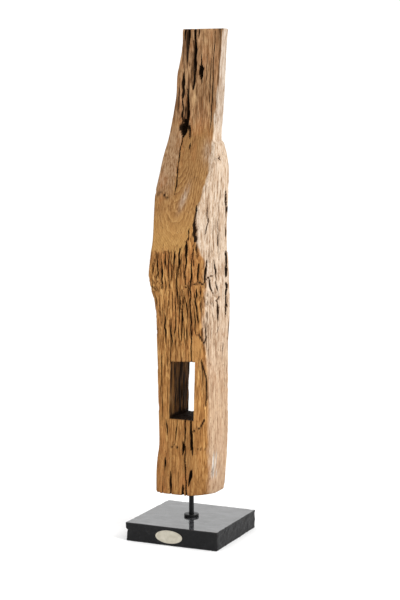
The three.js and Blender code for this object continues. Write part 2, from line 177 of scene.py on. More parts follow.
HEIGHTS = ring_heights()
SKIN = net(HEIGHTS)
EDGES = np.cumsum([0, *COLUMNS.values()])
SPAN = {name: slice(EDGES[i], EDGES[i + 1]) for i, name in enumerate(COLUMNS)}
Z = SKIN[..., 2]
tangent = np.roll(SKIN, -1, 1) - np.roll(SKIN, 1, 1)
OUTWARD = np.stack([tangent[..., 1], -tangent[..., 0]], -1)
OUTWARD /= np.linalg.norm(OUTWARD, axis=-1, keepdims=True)
pace = np.linalg.norm(np.diff(SKIN[..., :2], axis=1), axis=-1)
AROUND = np.concatenate([np.zeros((len(HEIGHTS), 1)), np.cumsum(pace, 1)], 1)
print("net", SKIN.shape, "makes about", 2 * Z.size, "triangles, girth up to", AROUND.max().round(), "mm")

# %% [markdown]
# ## Noise that runs with the grain
#
# Timber is a bundle of fibres, so its wear isn't the same in every direction. The noise here fills space
# with cells a few millimetres wide and tens of millimetres tall. Where a face cuts the bundle at a slant,
# as the scarf does, the streaks come out short of their own accord, as on the real thing.

# %% Grain noise
def scatter(i, j, k, seed):
    h = (i * 374761393 + j * 668265263 + k * 1103515245 + seed * 974634777) & 0xFFFFFFFF
    h = ((h ^ (h >> 13)) * 1274126177) & 0xFFFFFFFF
    return ((h ^ (h >> 16)) & 0xFFFF) / 65535.0


def noise(place, cell, seed):
    q = place / np.array(cell, float)
    i = np.floor(q).astype(np.int64)
    f = ease(q - i)
    total = 0.0
    for dx in (0, 1):
        for dy in (0, 1):
            for dz in (0, 1):
                share = np.abs(1 - dx - f[..., 0]) * np.abs(1 - dy - f[..., 1]) * np.abs(1 - dz - f[..., 2])
                total = total + share * scatter(i[..., 0] + dx, i[..., 1] + dy, i[..., 2] + dz, seed)
    return total


def blob(place, across, height, wide, tall, lean=0):
    x = place[..., 0] - across
    return np.exp(-((x / wide) ** 2) - ((place[..., 2] - height - lean * x) / tall) ** 2)


# The fibres sway by 2 or 3 mm, and by up to 5 mm more round the knot at the timber's left edge.
def wander(place):
    sway = np.stack([noise(place, (34, 34, 95), seed) - 0.5 for seed in (71, 72)], -1) * 5
    knot = blob(place, -62, 512, 20, 34)
    sway = sway + knot[..., None] * 5 * np.sin(place[..., 2:3] / 5.5)
    return np.concatenate([place[..., :2] + sway, place[..., 2:3]], -1)


GRAIN = wander(SKIN)
print("grain sways", np.abs(GRAIN - SKIN).max().round(1), "mm at most")

# %% [markdown]
# ## How rough each face is
#
# The front and the left are the most weathered. The scarf and the tongue were cut later and are nearly
# smooth, and so is the lower part of the wane. A number from 0 to about 1.2 for each point says how deep
# the weather has bitten there.

# %% Roughness
BITE = {
    "front": [
        [91, 0.6], [200, 0.6], [260, 0.62], [360, 0.82], [420, 1.0], [520, 1.15], [600, 1.2], [1013, 1.2],
    ],
    "wane": [
        [91, 0.25], [240, 0.28], [330, 0.42], [420, 0.75], [520, 0.8], [700, 0.62], [760, 0.4], [1013, 0.2],
    ],
    "right": [[91, 0.25], [260, 0.4], [420, 0.75], [680, 0.7], [740, 0.45], [797, 0.14], [1013, 0.14]],
    "back_right": [[91, 0.5], [780, 0.7], [820, 0.3], [1013, 0.3]],
    "back": [[91, 0.6], [500, 0.8], [780, 0.65], [1013, 0.5]],
    "back_left": [[91, 0.7], [780, 0.8], [1013, 0.6]],
    "left": [[91, 0.6], [430, 0.8], [600, 0.75], [780, 0.55], [1013, 0.5]],
    "front_left": [[91, 0.65], [420, 1.0], [560, 1.0], [600, 0.55], [1013, 0.5]],
}


def smoothed(values, times, own_share=2):
    for _ in range(times):
        values = (np.roll(values, 1, 1) + own_share * values + np.roll(values, -1, 1)) / (own_share + 2)
    return values


bite = smoothed(np.concatenate([along(BITE[name], Z[:, SPAN[name]]) for name in COLUMNS], 1), 6)
bite = bite * (0.55 + 0.9 * noise(SKIN, (38, 38, 95), 5))


# Each kind of furrow has its own depth in millimetres and its own width and length of cell.
def furrows(place):
    flutes = 2.0 * noise(place, (15, 15, 170), 3)
    deep = 2.9 * step(0.56, 0.76, noise(place, (3.1, 3.1, 30), 11))
    slits = 2.1 * step(0.58, 0.72, noise(place, (1.9, 1.9, 19), 12))
    ledges = 1.2 * step(0.58, 0.68, noise(place, (5, 5, 13), 15))
    return flutes + deep + slits + ledges


fibres = noise(GRAIN, (1.5, 1.5, 16), 13) * 0.5 + noise(GRAIN, (3.1, 3.1, 34), 14) * 0.4
weather = bite ** 1.15 * furrows(GRAIN) + fibres * (0.4 + 0.6 * np.minimum(bite, 1))
print("weather bites", weather.mean().round(2), "mm on average and", weather.max().round(1), "mm at most")

# %% [markdown]
# ## The scarf, cut into the rough front
#
# The scarf isn't a picture painted on the front: it is a cut. Wherever an old furrow reaches deeper than
# the cut, it still shows. That gives the ragged edge along the scarf's lower end without any drawing.
# Elsewhere the outline runs through the middle of the weathering, so the ridges stand a little proud of
# it.

# %% Cut the scarf
PROUD = 1.3
scarf_depth = front_at(Z) - along(FRONT, Z)
in_front = np.zeros_like(Z)
in_front[:, SPAN["front"]] = 1
in_front[:, SPAN["front_left"]] = 1
tongue = step(796, 850, Z)
tongue_splits = 1.5 * step(0.56, 0.74, noise(GRAIN, (2.6, 2.6, 60), 21))
tongue_splits = tongue_splits + step(0.6, 0.75, noise(GRAIN, (5, 5, 24), 22))
new_face = (0.35 + 0.5 * tongue) * fibres + tongue * tongue_splits * step(45, 5, SKIN[..., 0])
worn = weather - PROUD
depth = np.where(in_front > 0, np.maximum(worn - scarf_depth, new_face), worn)
fresh = in_front * step(-0.2, 1.2, scarf_depth - worn) * step(0.2, 2.5, scarf_depth)
print("fresh cut covers", (fresh > 0.5).mean().round(3), "of the net")

# %% [markdown]
# ## Cracks, rot channels and holes
#
# The cracks run with the grain, and most of them are where the weather bites. Each long crack is one row:
# its depth, and then across, height and width at each point of its path in turn, all in millimetres.
# Across is x in front and behind, and y at the sides. The larger paths follow the CAD model's.

# %% Where the cracks run
FRONT_CRACKS = [
    [6, -21.5, 1020, 2.7, -20, 1003, 3.1, -19, 990, 1],
    [7, -14, 1020, 3.1, -11.4, 999, 4.5, -9.4, 983, 1.4],
    [9, 0, 1020, 4.1, 0.3, 999, 4.9, 1, 985, 4],
    [13, 1, 988, 4, 1.8, 972, 6.4, 1.5, 952, 6.8, 0.5, 925, 6.2, -0.6, 902, 1.5],
    [5.5, -3, 990, 6, -1.6, 972, 13, -1.4, 943, 15, -0.6, 913, 13, 0, 896, 4],
    [4, 8.1, 1020, 2.5, 8.6, 1005, 2.9, 8.7, 997, 1],
    [8, 15, 962, 1.2, 15.2, 946, 2.7, 15.3, 937, 3.1],
    [15, 14.1, 941, 4.5, 14.5, 935, 10.6, 15.2, 925, 10.4, 15.8, 916, 2.5],
    [4, 18, 919, 3.7, 18.5, 915, 4.1, 18.7, 906, 1.4],
    [9, -22.2, 927, 2.5, -22.6, 915, 7.4, -22.5, 898, 9.5, -22.5, 882, 5.2, -22.5, 874, 1.4],
    [12, -13.2, 893, 2.4, -12.3, 874, 6.6, -12, 851, 7, -12.6, 825, 7.4],
    [8, -22.4, 879, 2.2, -22.8, 855, 3.7, -23.3, 827, 4.1],
    [5.8, -18.9, 904, 5, -17.2, 878, 14, -16.9, 851, 16.5, -16.8, 825, 17.5],
    [17, -18, 834, 8, -17.4, 821, 15.5, -18.2, 811, 12.4, -19, 801, 2.5],
    [8, -5.5, 826, 1.2, -4.6, 814, 4.5, -3.2, 800, 1.2],
    [5, -2.5, 789, 1.5, -2.3, 784, 4.1, -2.6, 779, 1.5],
    [6.5, -19.7, 806, 2.2, -23.2, 776, 2, -24.6, 737, 1.8, -25.2, 702, 1.5, -25.5, 688, 1],
    [1.4, 54, 1020, 4, 53.8, 952, 4, 52.4, 894, 4.1, 50.9, 820, 4.1],
    [2.5, 39, 985, 1, 37, 950, 2, 36, 905, 2.2, 35, 870, 1],
    [2.5, 44, 1010, 1, 42, 960, 2.4, 41, 905, 2, 40, 850, 2.4, 38, 812, 1],
    [2.5, 28, 960, 1, 27, 920, 1.8, 26, 880, 1],
    [5.6, 22.5, 667, 3, 22.2, 651, 8.6, 23.2, 626, 9, 24, 603, 8.6, 24.2, 597, 7.5],
    [6, 10.6, 622, 1.8, 11.2, 612, 4.5, 11.8, 602, 1.6],
    [7, 9.5, 599, 3.6, 9.8, 591, 5.3, 10.2, 575, 3.4, 9.5, 540, 2, 9.5, 515, 3],
    [7, 20, 590, 1.2, 20, 540, 2.0, 20, 470, 2.4, 21, 356, 2.2],
    [6, -44, 565, 1, -42, 540, 4, -43, 505, 1.5],
    [6, -53, 572, 2, -51, 550, 4, -48, 527, 1],
    [6, -35, 578, 1.5, -34, 558, 4, -35, 532, 1],
    [7, -25, 576, 1.5, -26, 556, 4, -29, 520, 1],
    [6, -14, 580, 1.5, -15, 562, 3.5, -18, 535, 1],
    [7, -3, 585, 2, -4, 560, 4, -6, 530, 1],
    [6, -10, 545, 1, -9, 500, 4, -8, 470, 1.5],
    [6, 6.5, 488, 1.5, 11.5, 471, 3.2, 13.6, 458, 2],
    [6, 1, 478, 1, 2, 445, 4.5, -1, 405, 1.5],
    [6, -13, 470, 1, -12, 440, 3.5, -15, 412, 1],
    [5, -24, 440, 1, -22, 412, 4, -21, 385, 1.5],
    [5, -36, 455, 1, -36, 425, 3, -35, 398, 1],
    [5, -45, 372, 1, -44, 345, 3, -46, 310, 1],
    [5, 28, 468, 1, 28.5, 450, 2.8, 29.2, 430, 2.8, 31.4, 414, 1.5],
    [5, 31, 508, 2, 31, 480, 4, 36, 440, 2],
    [6, 43, 560, 2, 42, 545, 5, 43, 522, 4],
    [5, 31, 556, 2, 31, 540, 4, 32, 520, 2],
    [9, 20.5, 240, 4, 21.5, 205, 5, 23.5, 186, 6, 25, 172, 1.5],
    [9, 8, 248, 2.2, 8, 180, 2.4, 10, 130, 2.2, 12, 86, 2.4],
    [8, 2, 199, 2, 3.5, 188, 5, 3.5, 172, 2],
    [9, 22, 143, 3, 20, 130, 6.5, 17, 110, 2],
    [9, 4.5, 114, 2, 4.5, 102, 7, 4, 84, 6],
    [7, -23.5, 136, 1.5, -23.5, 118, 5.5, -23, 90, 4],
    [5, -36, 166, 1.5, -36, 152, 5, -36, 138, 1.5],
    [5, -35, 244, 1, -33, 230, 4, -31, 212, 1],
    [4, -10, 240, 1, -11, 222, 3, -14, 200, 1],
    [4, -46, 300, 1, -44, 270, 3, -45, 240, 1],
    [5, 49, 527, 2, 52, 510, 3.4, 59, 489, 1],
]
RIGHT_CRACKS = [
    [19, 23, 513, 7, 22.5, 490, 9.5, 22, 468, 9.5, 21.5, 450, 5],
    [15, 30, 576, 3, 26.5, 562, 6.5, 24, 545, 7.5, 23, 527, 6],
    [8, 24, 700, 2, 27, 684, 8, 34, 663, 7, 33, 640, 2],
    [6, 33, 630, 1.5, 33, 610, 4, 32, 590, 1],
    [5, -9, 560, 1.5, -8, 540, 3, -9, 522, 1],
    [5, -12, 519, 1.5, -11, 508, 3, -10, 500, 1],
    [6, -13.5, 481, 3, -14, 462, 3.6, -14.6, 441, 2],
    [5, -13, 431, 1.5, -13.4, 424, 3.2, -13.3, 416, 1.5],
    [6, 40, 445, 1.5, 42, 425, 4, 43, 400, 1.5],
    [4, 15, 392, 1.5, 11, 370, 3, 9, 346, 1.5],
    [4, 20, 350, 1.5, 21, 330, 3, 20, 306, 1],
    [4, 2, 640, 1, 3, 610, 3, 1, 575, 1],
    [4, -15, 670, 1, -14, 640, 2.6, -16, 612, 1],
]
BACK_CRACKS = [
    [12, 10, 700, 1.5, 8, 640, 5, 12, 560, 7, 9, 500, 5, 10, 440, 1.5],
    [9, -30, 620, 1.5, -33, 570, 6, -31, 520, 1.5],
    [10, 30, 1020, 5, 29, 960, 6, 31, 880, 1.5],
    [8, -8, 910, 1.5, -6, 860, 6, -9, 800, 6, -10, 760, 1.5],
    [9, -2, 240, 3, -4, 180, 5, -3, 84, 4],
    [7, 36, 330, 1.5, 38, 270, 5, 36, 200, 1.5],
    [7, -42, 200, 1.5, -40, 150, 6, -41, 84, 4],
    [5, 50, 640, 1, 49, 590, 3, 50, 540, 1],
    [5, -48, 470, 1, -50, 420, 4, -48, 370, 1],
]
LEFT_CRACKS = [
    [9, 6, 560, 1.5, 4, 500, 6, 6, 430, 6, 5, 360, 1.5],
    [7, -22, 420, 1.5, -24, 350, 5, -23, 290, 1.5],
    [8, 24, 720, 1.5, 22, 650, 6, 24, 600, 1.5],
    [8, 20, 240, 1.5, 18, 160, 6, 20, 84, 5],
    [6, -10, 190, 1.5, -12, 130, 5, -11, 84, 3],
]
# For each face: its cracks, the stretches that it covers, and which coordinate runs across it.
FACES = [
    [FRONT_CRACKS, "front", "wane", 0],
    [RIGHT_CRACKS, "wane", "right", 1],
    [BACK_CRACKS, "back", "back", 0],
    [LEFT_CRACKS, "left", "left", 1],
]
print("cracks on each face:", [len(face[0]) for face in FACES])

# %% [markdown]
# ## Carve the cracks
#
# The edges of a crack wobble, its floor is rounded, and it gets shallower as it gets narrower. Those at the
# sides have steeper walls, because the camera looks along that face. A second array keeps how much painted
# shade a crack gets. The painted shade goes from lip to lip, because a narrow crack is black from every
# side.

# %% Long cracks
def place_on(first, last, axis, across):
    columns = slice(SPAN[first].start, SPAN[last].stop)
    found = np.empty(len(HEIGHTS))
    for r in range(len(HEIGHTS)):
        place, girth = SKIN[r, columns, axis], AROUND[r, columns]
        order = np.argsort(place)
        found[r] = np.interp(across[r], place[order], girth[order])
    return found[:, None]


def crack(deep, path, first, last, axis, seed):
    across, z, width = np.array(path, float).reshape(-1, 3)[::-1].T
    wobble = 2.2 * (noise(np.stack([0 * HEIGHTS, 0 * HEIGHTS, HEIGHTS], -1), (1, 1, 13), seed) - 0.5)
    middle = place_on(first, last, axis, np.interp(HEIGHTS, z, across) + wobble)
    ragged = 0.3 + 0.8 * noise(SKIN, (5, 5, 9), seed + 1) + 0.6 * noise(SKIN, (2, 2, 30), seed + 2)
    half = 0.6 * np.interp(HEIGHTS, z, width, left=0, right=0)[:, None] * ragged + 1e-6
    from_middle = np.abs(AROUND - middle)
    at_side = axis == 1
    steep = 0.3 if at_side else 0.85
    profile = np.clip(1 - (from_middle / half) ** 1.6, 0, 1) ** steep
    strength = deep * np.sqrt(half * 2 / width.max()).clip(0, 1.1)
    # Painted shade: the crack is darkened from lip to lip and a little past its lips.
    shade_reach = half + 1.2 * (half > 0.6) if at_side else 1.25 * half
    crack_shade = np.clip(1 - (from_middle / shade_reach) ** 3, 0, 1) ** (0.6 * steep)
    return strength * profile, strength * crack_shade


FIRST_SEED, SEEDS_EACH = 100, 3
cracks, dark = np.zeros_like(depth), np.zeros_like(depth)
for cracks_here, first, last, axis in FACES:
    for number, (deep, *path) in enumerate(cracks_here):
        here, shadow = crack(deep, path, first, last, axis, FIRST_SEED + SEEDS_EACH * number)
        cracks, dark = np.maximum(cracks, here), np.maximum(dark, shadow)
print("cracks cover", (cracks > 1).mean().round(3), "of the net, deepest", cracks.max().round(1), "mm")

# %% [markdown]
# ## Checks across the grain, and pits
#
# A few short checks run across the grain where the timber once bent or was struck. Each row is half its
# width, its depth, and x, y and z of each point of a chain on the skin. The net is pushed in close to the
# chain. A pit is a chain of one point.

# %% Short checks and pits
CHECKS = [
    [1.5, 4.5, 9, -49, 509, 21, -46, 513, 29, -41, 516, 37, -35, 517, 41, -32, 514],
    [1.3, 4, 41, -32, 514, 43, -27, 522, 48, -21, 528, 57, -11, 532, 62, 10, 533, 64, 24, 516],
    [1.2, 3, -69, -20, 694, -53, -22, 691, -44, -24, 683, -38, -25, 680],
    [1.0, 2.2, -65, -23, 688, -44, -24, 682],
    [1.6, 5, 31, -47, 418, 38, -45, 414, 46, -39, 399, 49, -35, 412],
    [1.2, 4, 26, -49, 223, 39, -44, 230, 46, -40, 244],
    [1.2, 3.5, -22, -49, 186, -16, -49, 191, -9, -49, 187],
    [1.2, 3, 51, 9, 794, 54, 38, 793],
    [1.3, 4, 54.5, -4, 758.6, 60.7, 5, 761],
    [1.4, 4, 62, -16, 482, 64, -12, 483, 65, -7, 488],
]
PITS = [
    [2.6, 8, 60.7, 5, 761], [2.2, 6, 54.5, -4, 758.6], [2.2, 6, 59, 21, 769], [1.4, 2.5, 35, -46, 186],
    [1.2, 2.5, 40, -43, 186], [1.2, 2.5, 47, -37, 186], [1.5, 3, 64, 12, 350], [1.5, 3, 63, 24, 345],
    [1.3, 3, 63, 8, 292], [1.3, 3, 63, 24, 300], [1.7, 3, 13, 15, 890], [1.5, 3, 16, 15, 884],
    [1.3, 2.5, 4, 14, 879], [2.0, 3, 22, 17, 934], [1.5, 2.5, 58, 40, 961],
]


def check(half, deep, chain):
    chain = np.array(chain, float).reshape(-1, 3)
    nearest = np.full(Z.shape, np.inf)
    for a, b in zip(chain, chain[1:] if len(chain) > 1 else chain):
        run = b - a
        t = np.clip(((SKIN - a) @ run) / max(run @ run, 1e-9), 0, 1)
        nearest = np.minimum(nearest, np.linalg.norm(SKIN - a - t[..., None] * run, axis=-1))
    return deep * np.clip(1.25 - nearest / (half * 1.6), 0, 1) ** 0.7


checks = np.zeros_like(depth)
for half, deep, *chain in CHECKS + PITS:
    checks = np.maximum(checks, check(half, deep, chain))
print("checks reach", (checks > 0.5).sum(), "points")

# %% [markdown]
# ## The split flake and the pared facet by the slot
#
# Right of the slot a flake has lifted along an arched line, and above it a chisel has pared a clean
# facet. Both are shallow steps in the skin: the flake gets deeper up to its arched edge and stops there,
# and the facet is a flat patch with no weather in it. Their edges are lists of [height, x].

# %% Flake and facet
FLAKE_DEPTH = 3.4
FLAKE_LOW, FLAKE_HIGH = 272, 370
FACET_LOW, FACET_HIGH, FACET_LEFT = 362, 413, 21.5
ARCH = [[272, 49], [290, 51.6], [326, 51.4], [340, 48.9], [361, 43.7], [370, 38.7]]
FLAKE_INNER = [[272, 47], [300, 36], [354, 30.5], [370, 38.7]]
FACET_OUTER = [[362, 36.3], [382, 40.6], [403, 44.7], [414, 37.7]]


def edge_by_height(points):
    z, x = np.array(points, float).T
    return place_on("front", "wane", 0, np.interp(HEIGHTS, z, x))


def between(left, right, low, high):
    return (AROUND > left) & (AROUND < right) & (Z > low) & (Z < high)


inner, outer = edge_by_height(FLAKE_INNER), edge_by_height(ARCH)
rise = np.clip((AROUND - inner) / np.maximum(outer - inner, 1), 0, 1) ** 1.3
flake = np.where(between(inner, outer, FLAKE_LOW, FLAKE_HIGH), FLAKE_DEPTH * rise, 0)
slot_side = edge_by_height([[FACET_LOW, FACET_LEFT]])
facet_edge = edge_by_height(FACET_OUTER) + 2 * (noise(SKIN, (4, 4, 7), 41) - 0.5)
facet = between(slot_side, facet_edge, FACET_LOW, FACET_HIGH).astype(float)
print("flake", (flake > 0.2).sum(), "points, facet", int(facet.sum()), "points")

# %% [markdown]
# ## Push the skin in
#
# All the depths meet here. Cracks don't add to the furrows that they cross: the deeper one wins, and
# keeps a little of the roughness. The two ends of the timber are rounded, and their rings stay level.

# %% The carved skin
PARED = 1.7
depth = np.where(facet > 0, PARED + 0.7 * fibres, depth + flake)
depth = np.maximum(depth, np.maximum(cracks, checks) + 0.35 * np.minimum(depth, 2))
from_end = np.minimum(Z - FOOT, HEAD - Z)
depth = depth + 0.8 * END_ROUND * np.clip(1 - from_end / END_ROUND, 0, 1) ** 2
carved = SKIN.copy()
carved[..., :2] -= OUTWARD * depth[..., None]
print("deepest point", depth.max().round(1), "mm under the outline")

# %% [markdown]
# ## Painted shade, dirt and painted highlight: the first mark
#
# Two marks are stored on the skin's points for the material to read. The first, `hollow`, says how far a
# point lies below its surroundings and how deep its crack or check is, and the material paints dirt and
# painted shade there. The tongue's strips and the flake's edge are added to it. Below zero the wood is
# painted lighter than its surroundings: a painted highlight on the ridges, and three lighter spots on the
# tongue.

# %% The hollows
LIGHT_SPOTS = [(-13, 948, 6, 26, 0.4), (4, 880, 9, 20, 0.42), (-30, 905, 5, 30, 0.25)]
X = SKIN[..., 0]
around = smoothed(depth, 26, own_share=1)
# Painted shade and dirt: a point lower than its surroundings, or in a crack or check, is darker, by a patchy
# amount in the cracks. A point above its surroundings goes below zero, a painted highlight on the ridges.
patchy_shade_and_grime = 0.6 + 0.8 * noise(GRAIN, (3, 3, 22), 52)
hollow = np.clip(0.8 * (depth - around) / 2.6 + patchy_shade_and_grime * np.maximum(dark, 1.5 * checks) / 12.5, -0.8, 1.3)
hollow = np.maximum(hollow, step(3, 7, dark) * (1 - in_front))
strips = noise(GRAIN, (4.6, 4.6, 75), 53) + 0.5 * noise(GRAIN, (9, 9, 130), 54) - 0.66
hollow = hollow + in_front * tongue * strips * (0.6 + 0.7 * step(30, -10, X))
hollow = hollow + 0.12 * in_front * tongue * (step(-6, -14, X) + step(46, 52, X))
hollow = np.maximum(hollow, 0.6 * (flake > 2.9) * (cracks < 1)) + 0.22 * (flake > 0.8)
for *spot, lighter in LIGHT_SPOTS:
    hollow = hollow - in_front * (hollow < 0.6) * lighter * blob(SKIN, *spot)
print("hollow runs from", hollow.min().round(2), "to", hollow.max().round(2))

# %% [markdown]
# ## Bleached, fresh and grey: the second mark
#
# `tone` holds three numbers: how bleached the wood is, how freshly cut, and how grey. The sun has
# bleached the rounded corner and the right side up to a ragged edge. The scarf is fresh, the tongue is
# greyer, and a few smears and one white patch are grey too.

# %% The tones
PALE_EDGE = [
    [91, 47], [164, 52], [225, 51.7], [286, 51.9], [366, 50.2], [416, 47.1], [440, 44], [513, 45.4],
    [558, 38], [596, 24], [662, 23], [688, 32.7], [730, 42], [798, 44], [1013, 60],
]
BLEACH = [[91, 0.5], [200, 0.6], [300, 0.6], [420, 0.82], [540, 1.0], [760, 1.0], [1013, 1.0]]
edge = edge_by_height(PALE_EDGE) + 7 * (noise(SKIN, (5, 5, 20), 51) - 0.5)
soft = 1.2 + 4 * step(570, 540, Z)
pale = step(-soft, soft, AROUND - edge) * along(BLEACH, Z)
pale[:, SPAN["back_right"].stop:] = 0
for side, share in (("back", 0.35), ("back_left", 0.3), ("left", 0.25)):
    pale[:, SPAN[side]] = share
pale = smoothed(pale, 1)
hollow = np.where(hollow < 0.7, hollow * (1 - pale * (0.4 + 0.25 * step(540, 620, Z))), hollow)

seam = np.interp(HEIGHTS, [690, 720, 755, 785, 806], [-26, -24.5, -23, -21, -17])
left_of_seam = step(0, -6, X - seam[:, None]) * step(670, 715, Z) * step(850, 800, Z)
smear, high_right = blob(SKIN, -5, 682, 9, 16, lean=1.8), blob(SKIN, 36, 775, 10, 22)
grey = np.clip(fresh * (0.15 * left_of_seam + 0.42 * smear + 0.3 * high_right), 0, 1)
patch_middle = place_on("wane", "right", 1, np.full(len(HEIGHTS), -14))
white_patch = np.exp(-(((AROUND - patch_middle) / 9) ** 4) - ((Z - 152) / 24) ** 4)
grey = np.maximum(grey, 1.9 * white_patch * step(0.36, 0.56, noise(GRAIN, (4, 4, 40), 61)))
grey = np.maximum(grey, tongue * np.where(in_front > 0, 0.13, 0.34))
hollow = hollow + 0.17 * tongue * (in_front < 1) * (hollow < 0.4)
fresh = np.maximum(fresh * (1 - 0.75 * tongue), 0.45 * facet)
# The sawn ends get less dirt and painted shade than the sides.
hollow[[0, -1]] *= 0.35
pale[[0, -1]], fresh[[0, -1]] = 0.2, 0.7
TONE = np.stack([pale, fresh, grey, np.ones_like(pale)], -1)
print("mean tone: bleached, fresh, grey", TONE.mean((0, 1))[:3].round(2))

# %% [markdown]
# ## Two small helpers for every piece
#
# Blender's operators act on whatever is selected, and the frame arrives selected. So each piece starts by
# clearing the selection. When it is done, its place is put into its mesh, so that the object itself sits at
# the origin, it is hung under the root, and the CAD node that it stands for is hidden. All points are worked
# out in millimetres and become metres only on the way into Blender.

# %% Start and hand over a piece
MM = 0.001


def start_fresh():
    if bpy.context.object and bpy.context.object.mode != "OBJECT":
        bpy.ops.object.mode_set(mode="OBJECT")
    bpy.ops.object.select_all(action="DESELECT")


def only(piece):
    start_fresh()
    piece.select_set(True)
    bpy.context.view_layer.objects.active = piece


def hand_over(piece, name, node, smooth_angle=40):
    only(piece)
    piece.name = name
    piece.data.name = name
    bpy.ops.object.transform_apply(location=True, rotation=True, scale=True)
    bpy.ops.object.shade_smooth_by_angle(angle=math.radians(smooth_angle))
    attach(piece, "root")
    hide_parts(node)
    triangles = sum(len(face.vertices) - 2 for face in piece.data.polygons)
    low, high = ([round(v, 4) for v in corner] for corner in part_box(node))
    print(name, triangles, "triangles, stands for", node, low, high)


# %% [markdown]
# ## Wrap a sheet round the timber
#
# How does the net become a mesh? A flat grid with as many points is added, like a sheet of veneer, and
# each of its points is sent to its place on the carved skin. Its two long edges then meet and are merged,
# and both open ends are closed. The same helper makes the slab later.

# %% The wrapping helper
# Points closer than this, in metres, are merged.
MEET = 1e-7


def send_to(piece, points):
    piece.data.vertices.foreach_set("co", (points * MM).reshape(-1))


def edit_all():
    bpy.ops.object.mode_set(mode="EDIT")
    bpy.ops.mesh.select_all(action="SELECT")


def close_up(fill=False):
    bpy.ops.mesh.select_all(action="SELECT")
    bpy.ops.mesh.remove_doubles(threshold=MEET)
    if fill:
        bpy.ops.mesh.select_all(action="SELECT")
        bpy.ops.mesh.fill_holes(sides=0)
    bpy.ops.mesh.select_all(action="SELECT")
    bpy.ops.mesh.normals_make_consistent(inside=False)
    bpy.ops.object.mode_set(mode="OBJECT")


def wrap(points, marks):
    rings, columns = points.shape[:2]
    start_fresh()
    bpy.ops.mesh.primitive_grid_add(x_subdivisions=columns, y_subdivisions=rings - 1, size=1)
    sheet = bpy.context.object
    send_to(sheet, np.concatenate([points, points[:, :1]], 1))
    for mark, kind, values in marks:
        layer = sheet.data.attributes.new(mark, kind, "POINT")
        field = "color" if kind == "FLOAT_COLOR" else "value"
        values = np.concatenate([values, values[:, :1]], 1)
        layer.data.foreach_set(field, values.astype(np.float32).reshape(-1))
    edit_all()
    close_up(fill=True)
    return sheet


timber = wrap(carved, [("hollow", "FLOAT", hollow), ("tone", "FLOAT_COLOR", TONE)])
print("wrapped", len(timber.data.vertices), "points,", len(timber.data.polygons), "faces")

# %% [markdown]
# ## Chop the slot
#
# A slot was chopped right through. A block of its shape is cut out of the timber. So that the slot's
# walls aren't dead flat, the block is divided finely first and its sides are waved, as an old chisel and
# the weather leave them.

# %% The slot
SLOT_FRONT, SLOT_LENGTH = -60, 118


def points_of(piece):
    flat = np.empty(len(piece.data.vertices) * 3)
    piece.data.vertices.foreach_get("co", flat)
    return flat.reshape(-1, 3) / MM


def cut(piece, tool, operation="DIFFERENCE", solver="MANIFOLD"):
    only(piece)
    modifier = piece.modifiers.new("cut", "BOOLEAN")
    modifier.object, modifier.operation, modifier.solver = tool, operation, solver
    bpy.ops.object.modifier_apply(modifier=modifier.name)
    bpy.data.objects.remove(tool)


def slot_block():
    start_fresh()
    bpy.ops.mesh.primitive_cube_add(size=1)
    block = bpy.context.object
    edit_all()
    bpy.ops.mesh.subdivide(number_cuts=44)
    bpy.ops.object.mode_set(mode="OBJECT")
    unit = points_of(block) * MM + 0.5
    corners = np.array(MORTISE, float)
    low = corners[0] + (corners[1] - corners[0]) * unit[:, :1]
    high = corners[3] + (corners[2] - corners[3]) * unit[:, :1]
    flat = low + (high - low) * unit[:, 2:3]
    place = np.stack([flat[:, 0], SLOT_FRONT + SLOT_LENGTH * unit[:, 1], flat[:, 1]], -1)
    middle = corners.mean(0)
    wave = 3.4 * (noise(place, (60, 7, 30), 31) - 0.5) + 1.8 * (noise(place, (60, 3, 12), 32) - 0.5)
    chop = 2.6 * (noise(place, (9, 14, 60), 33) - 0.5)
    # The waves fade out towards both faces, so the slot's rim stays nearly as drawn.
    inside = np.clip((place[:, 1] + 50) / 12, 0, 1) * np.clip((45 - place[:, 1]) / 8, 0, 1)
    for axis, own_middle, waves in ((0, middle[0], wave), (2, middle[1], chop)):
        on_wall = np.abs(unit[:, axis] - 0.5) > 0.499
        place[:, axis] += np.sign(place[:, axis] - own_middle) * on_wall * waves * inside
    send_to(block, place)
    return block


# One whole number for each place, to the nearest 200th of a millimetre.
def key_of(points):
    return np.round((points + 2000) * 200).astype(np.int64) @ np.array([1, 1 << 20, 1 << 40])


skin_keys = key_of(points_of(timber))
cut(timber, slot_block())
print("after the slot", len(timber.data.vertices), "points,", len(timber.data.polygons), "faces")

# %% [markdown]
# ## Drill the foot, and give the new walls their marks
#
# The rod goes up into a drilled hole. The slot's and the hole's walls are new, so they have no marks yet.
# Their points are the ones whose places weren't in the skin. Each is marked as old wood with dirt and
# painted shade: the deeper it lies in the slot the darker it is.

# %% Hole and marks
HOLE_RADIUS, HOLE_TOP = 5.3, 150.5
BELOW_SLOT = 200


def drill(piece, radius, low, high, sides):
    start_fresh()
    place, depth = (0, 0, (low + high) / 2 * MM), (high - low) * MM
    bpy.ops.mesh.primitive_cylinder_add(vertices=sides, radius=radius * MM, depth=depth, location=place)
    cut(piece, bpy.context.object)


drill(timber, HOLE_RADIUS, FOOT - 4.5, HOLE_TOP, sides=48)
places = points_of(timber)
x, y, z = places.T
is_new = ~np.isin(key_of(places), skin_keys)
layer_of_shade_and_dirt, tones = timber.data.attributes["hollow"].data, timber.data.attributes["tone"].data
marks, colours = np.empty(len(x)), np.empty(len(x) * 4)
layer_of_shade_and_dirt.foreach_get("value", marks)
tones.foreach_get("color", colours)
streak = noise(places, (60, 3.4, 26), 34)
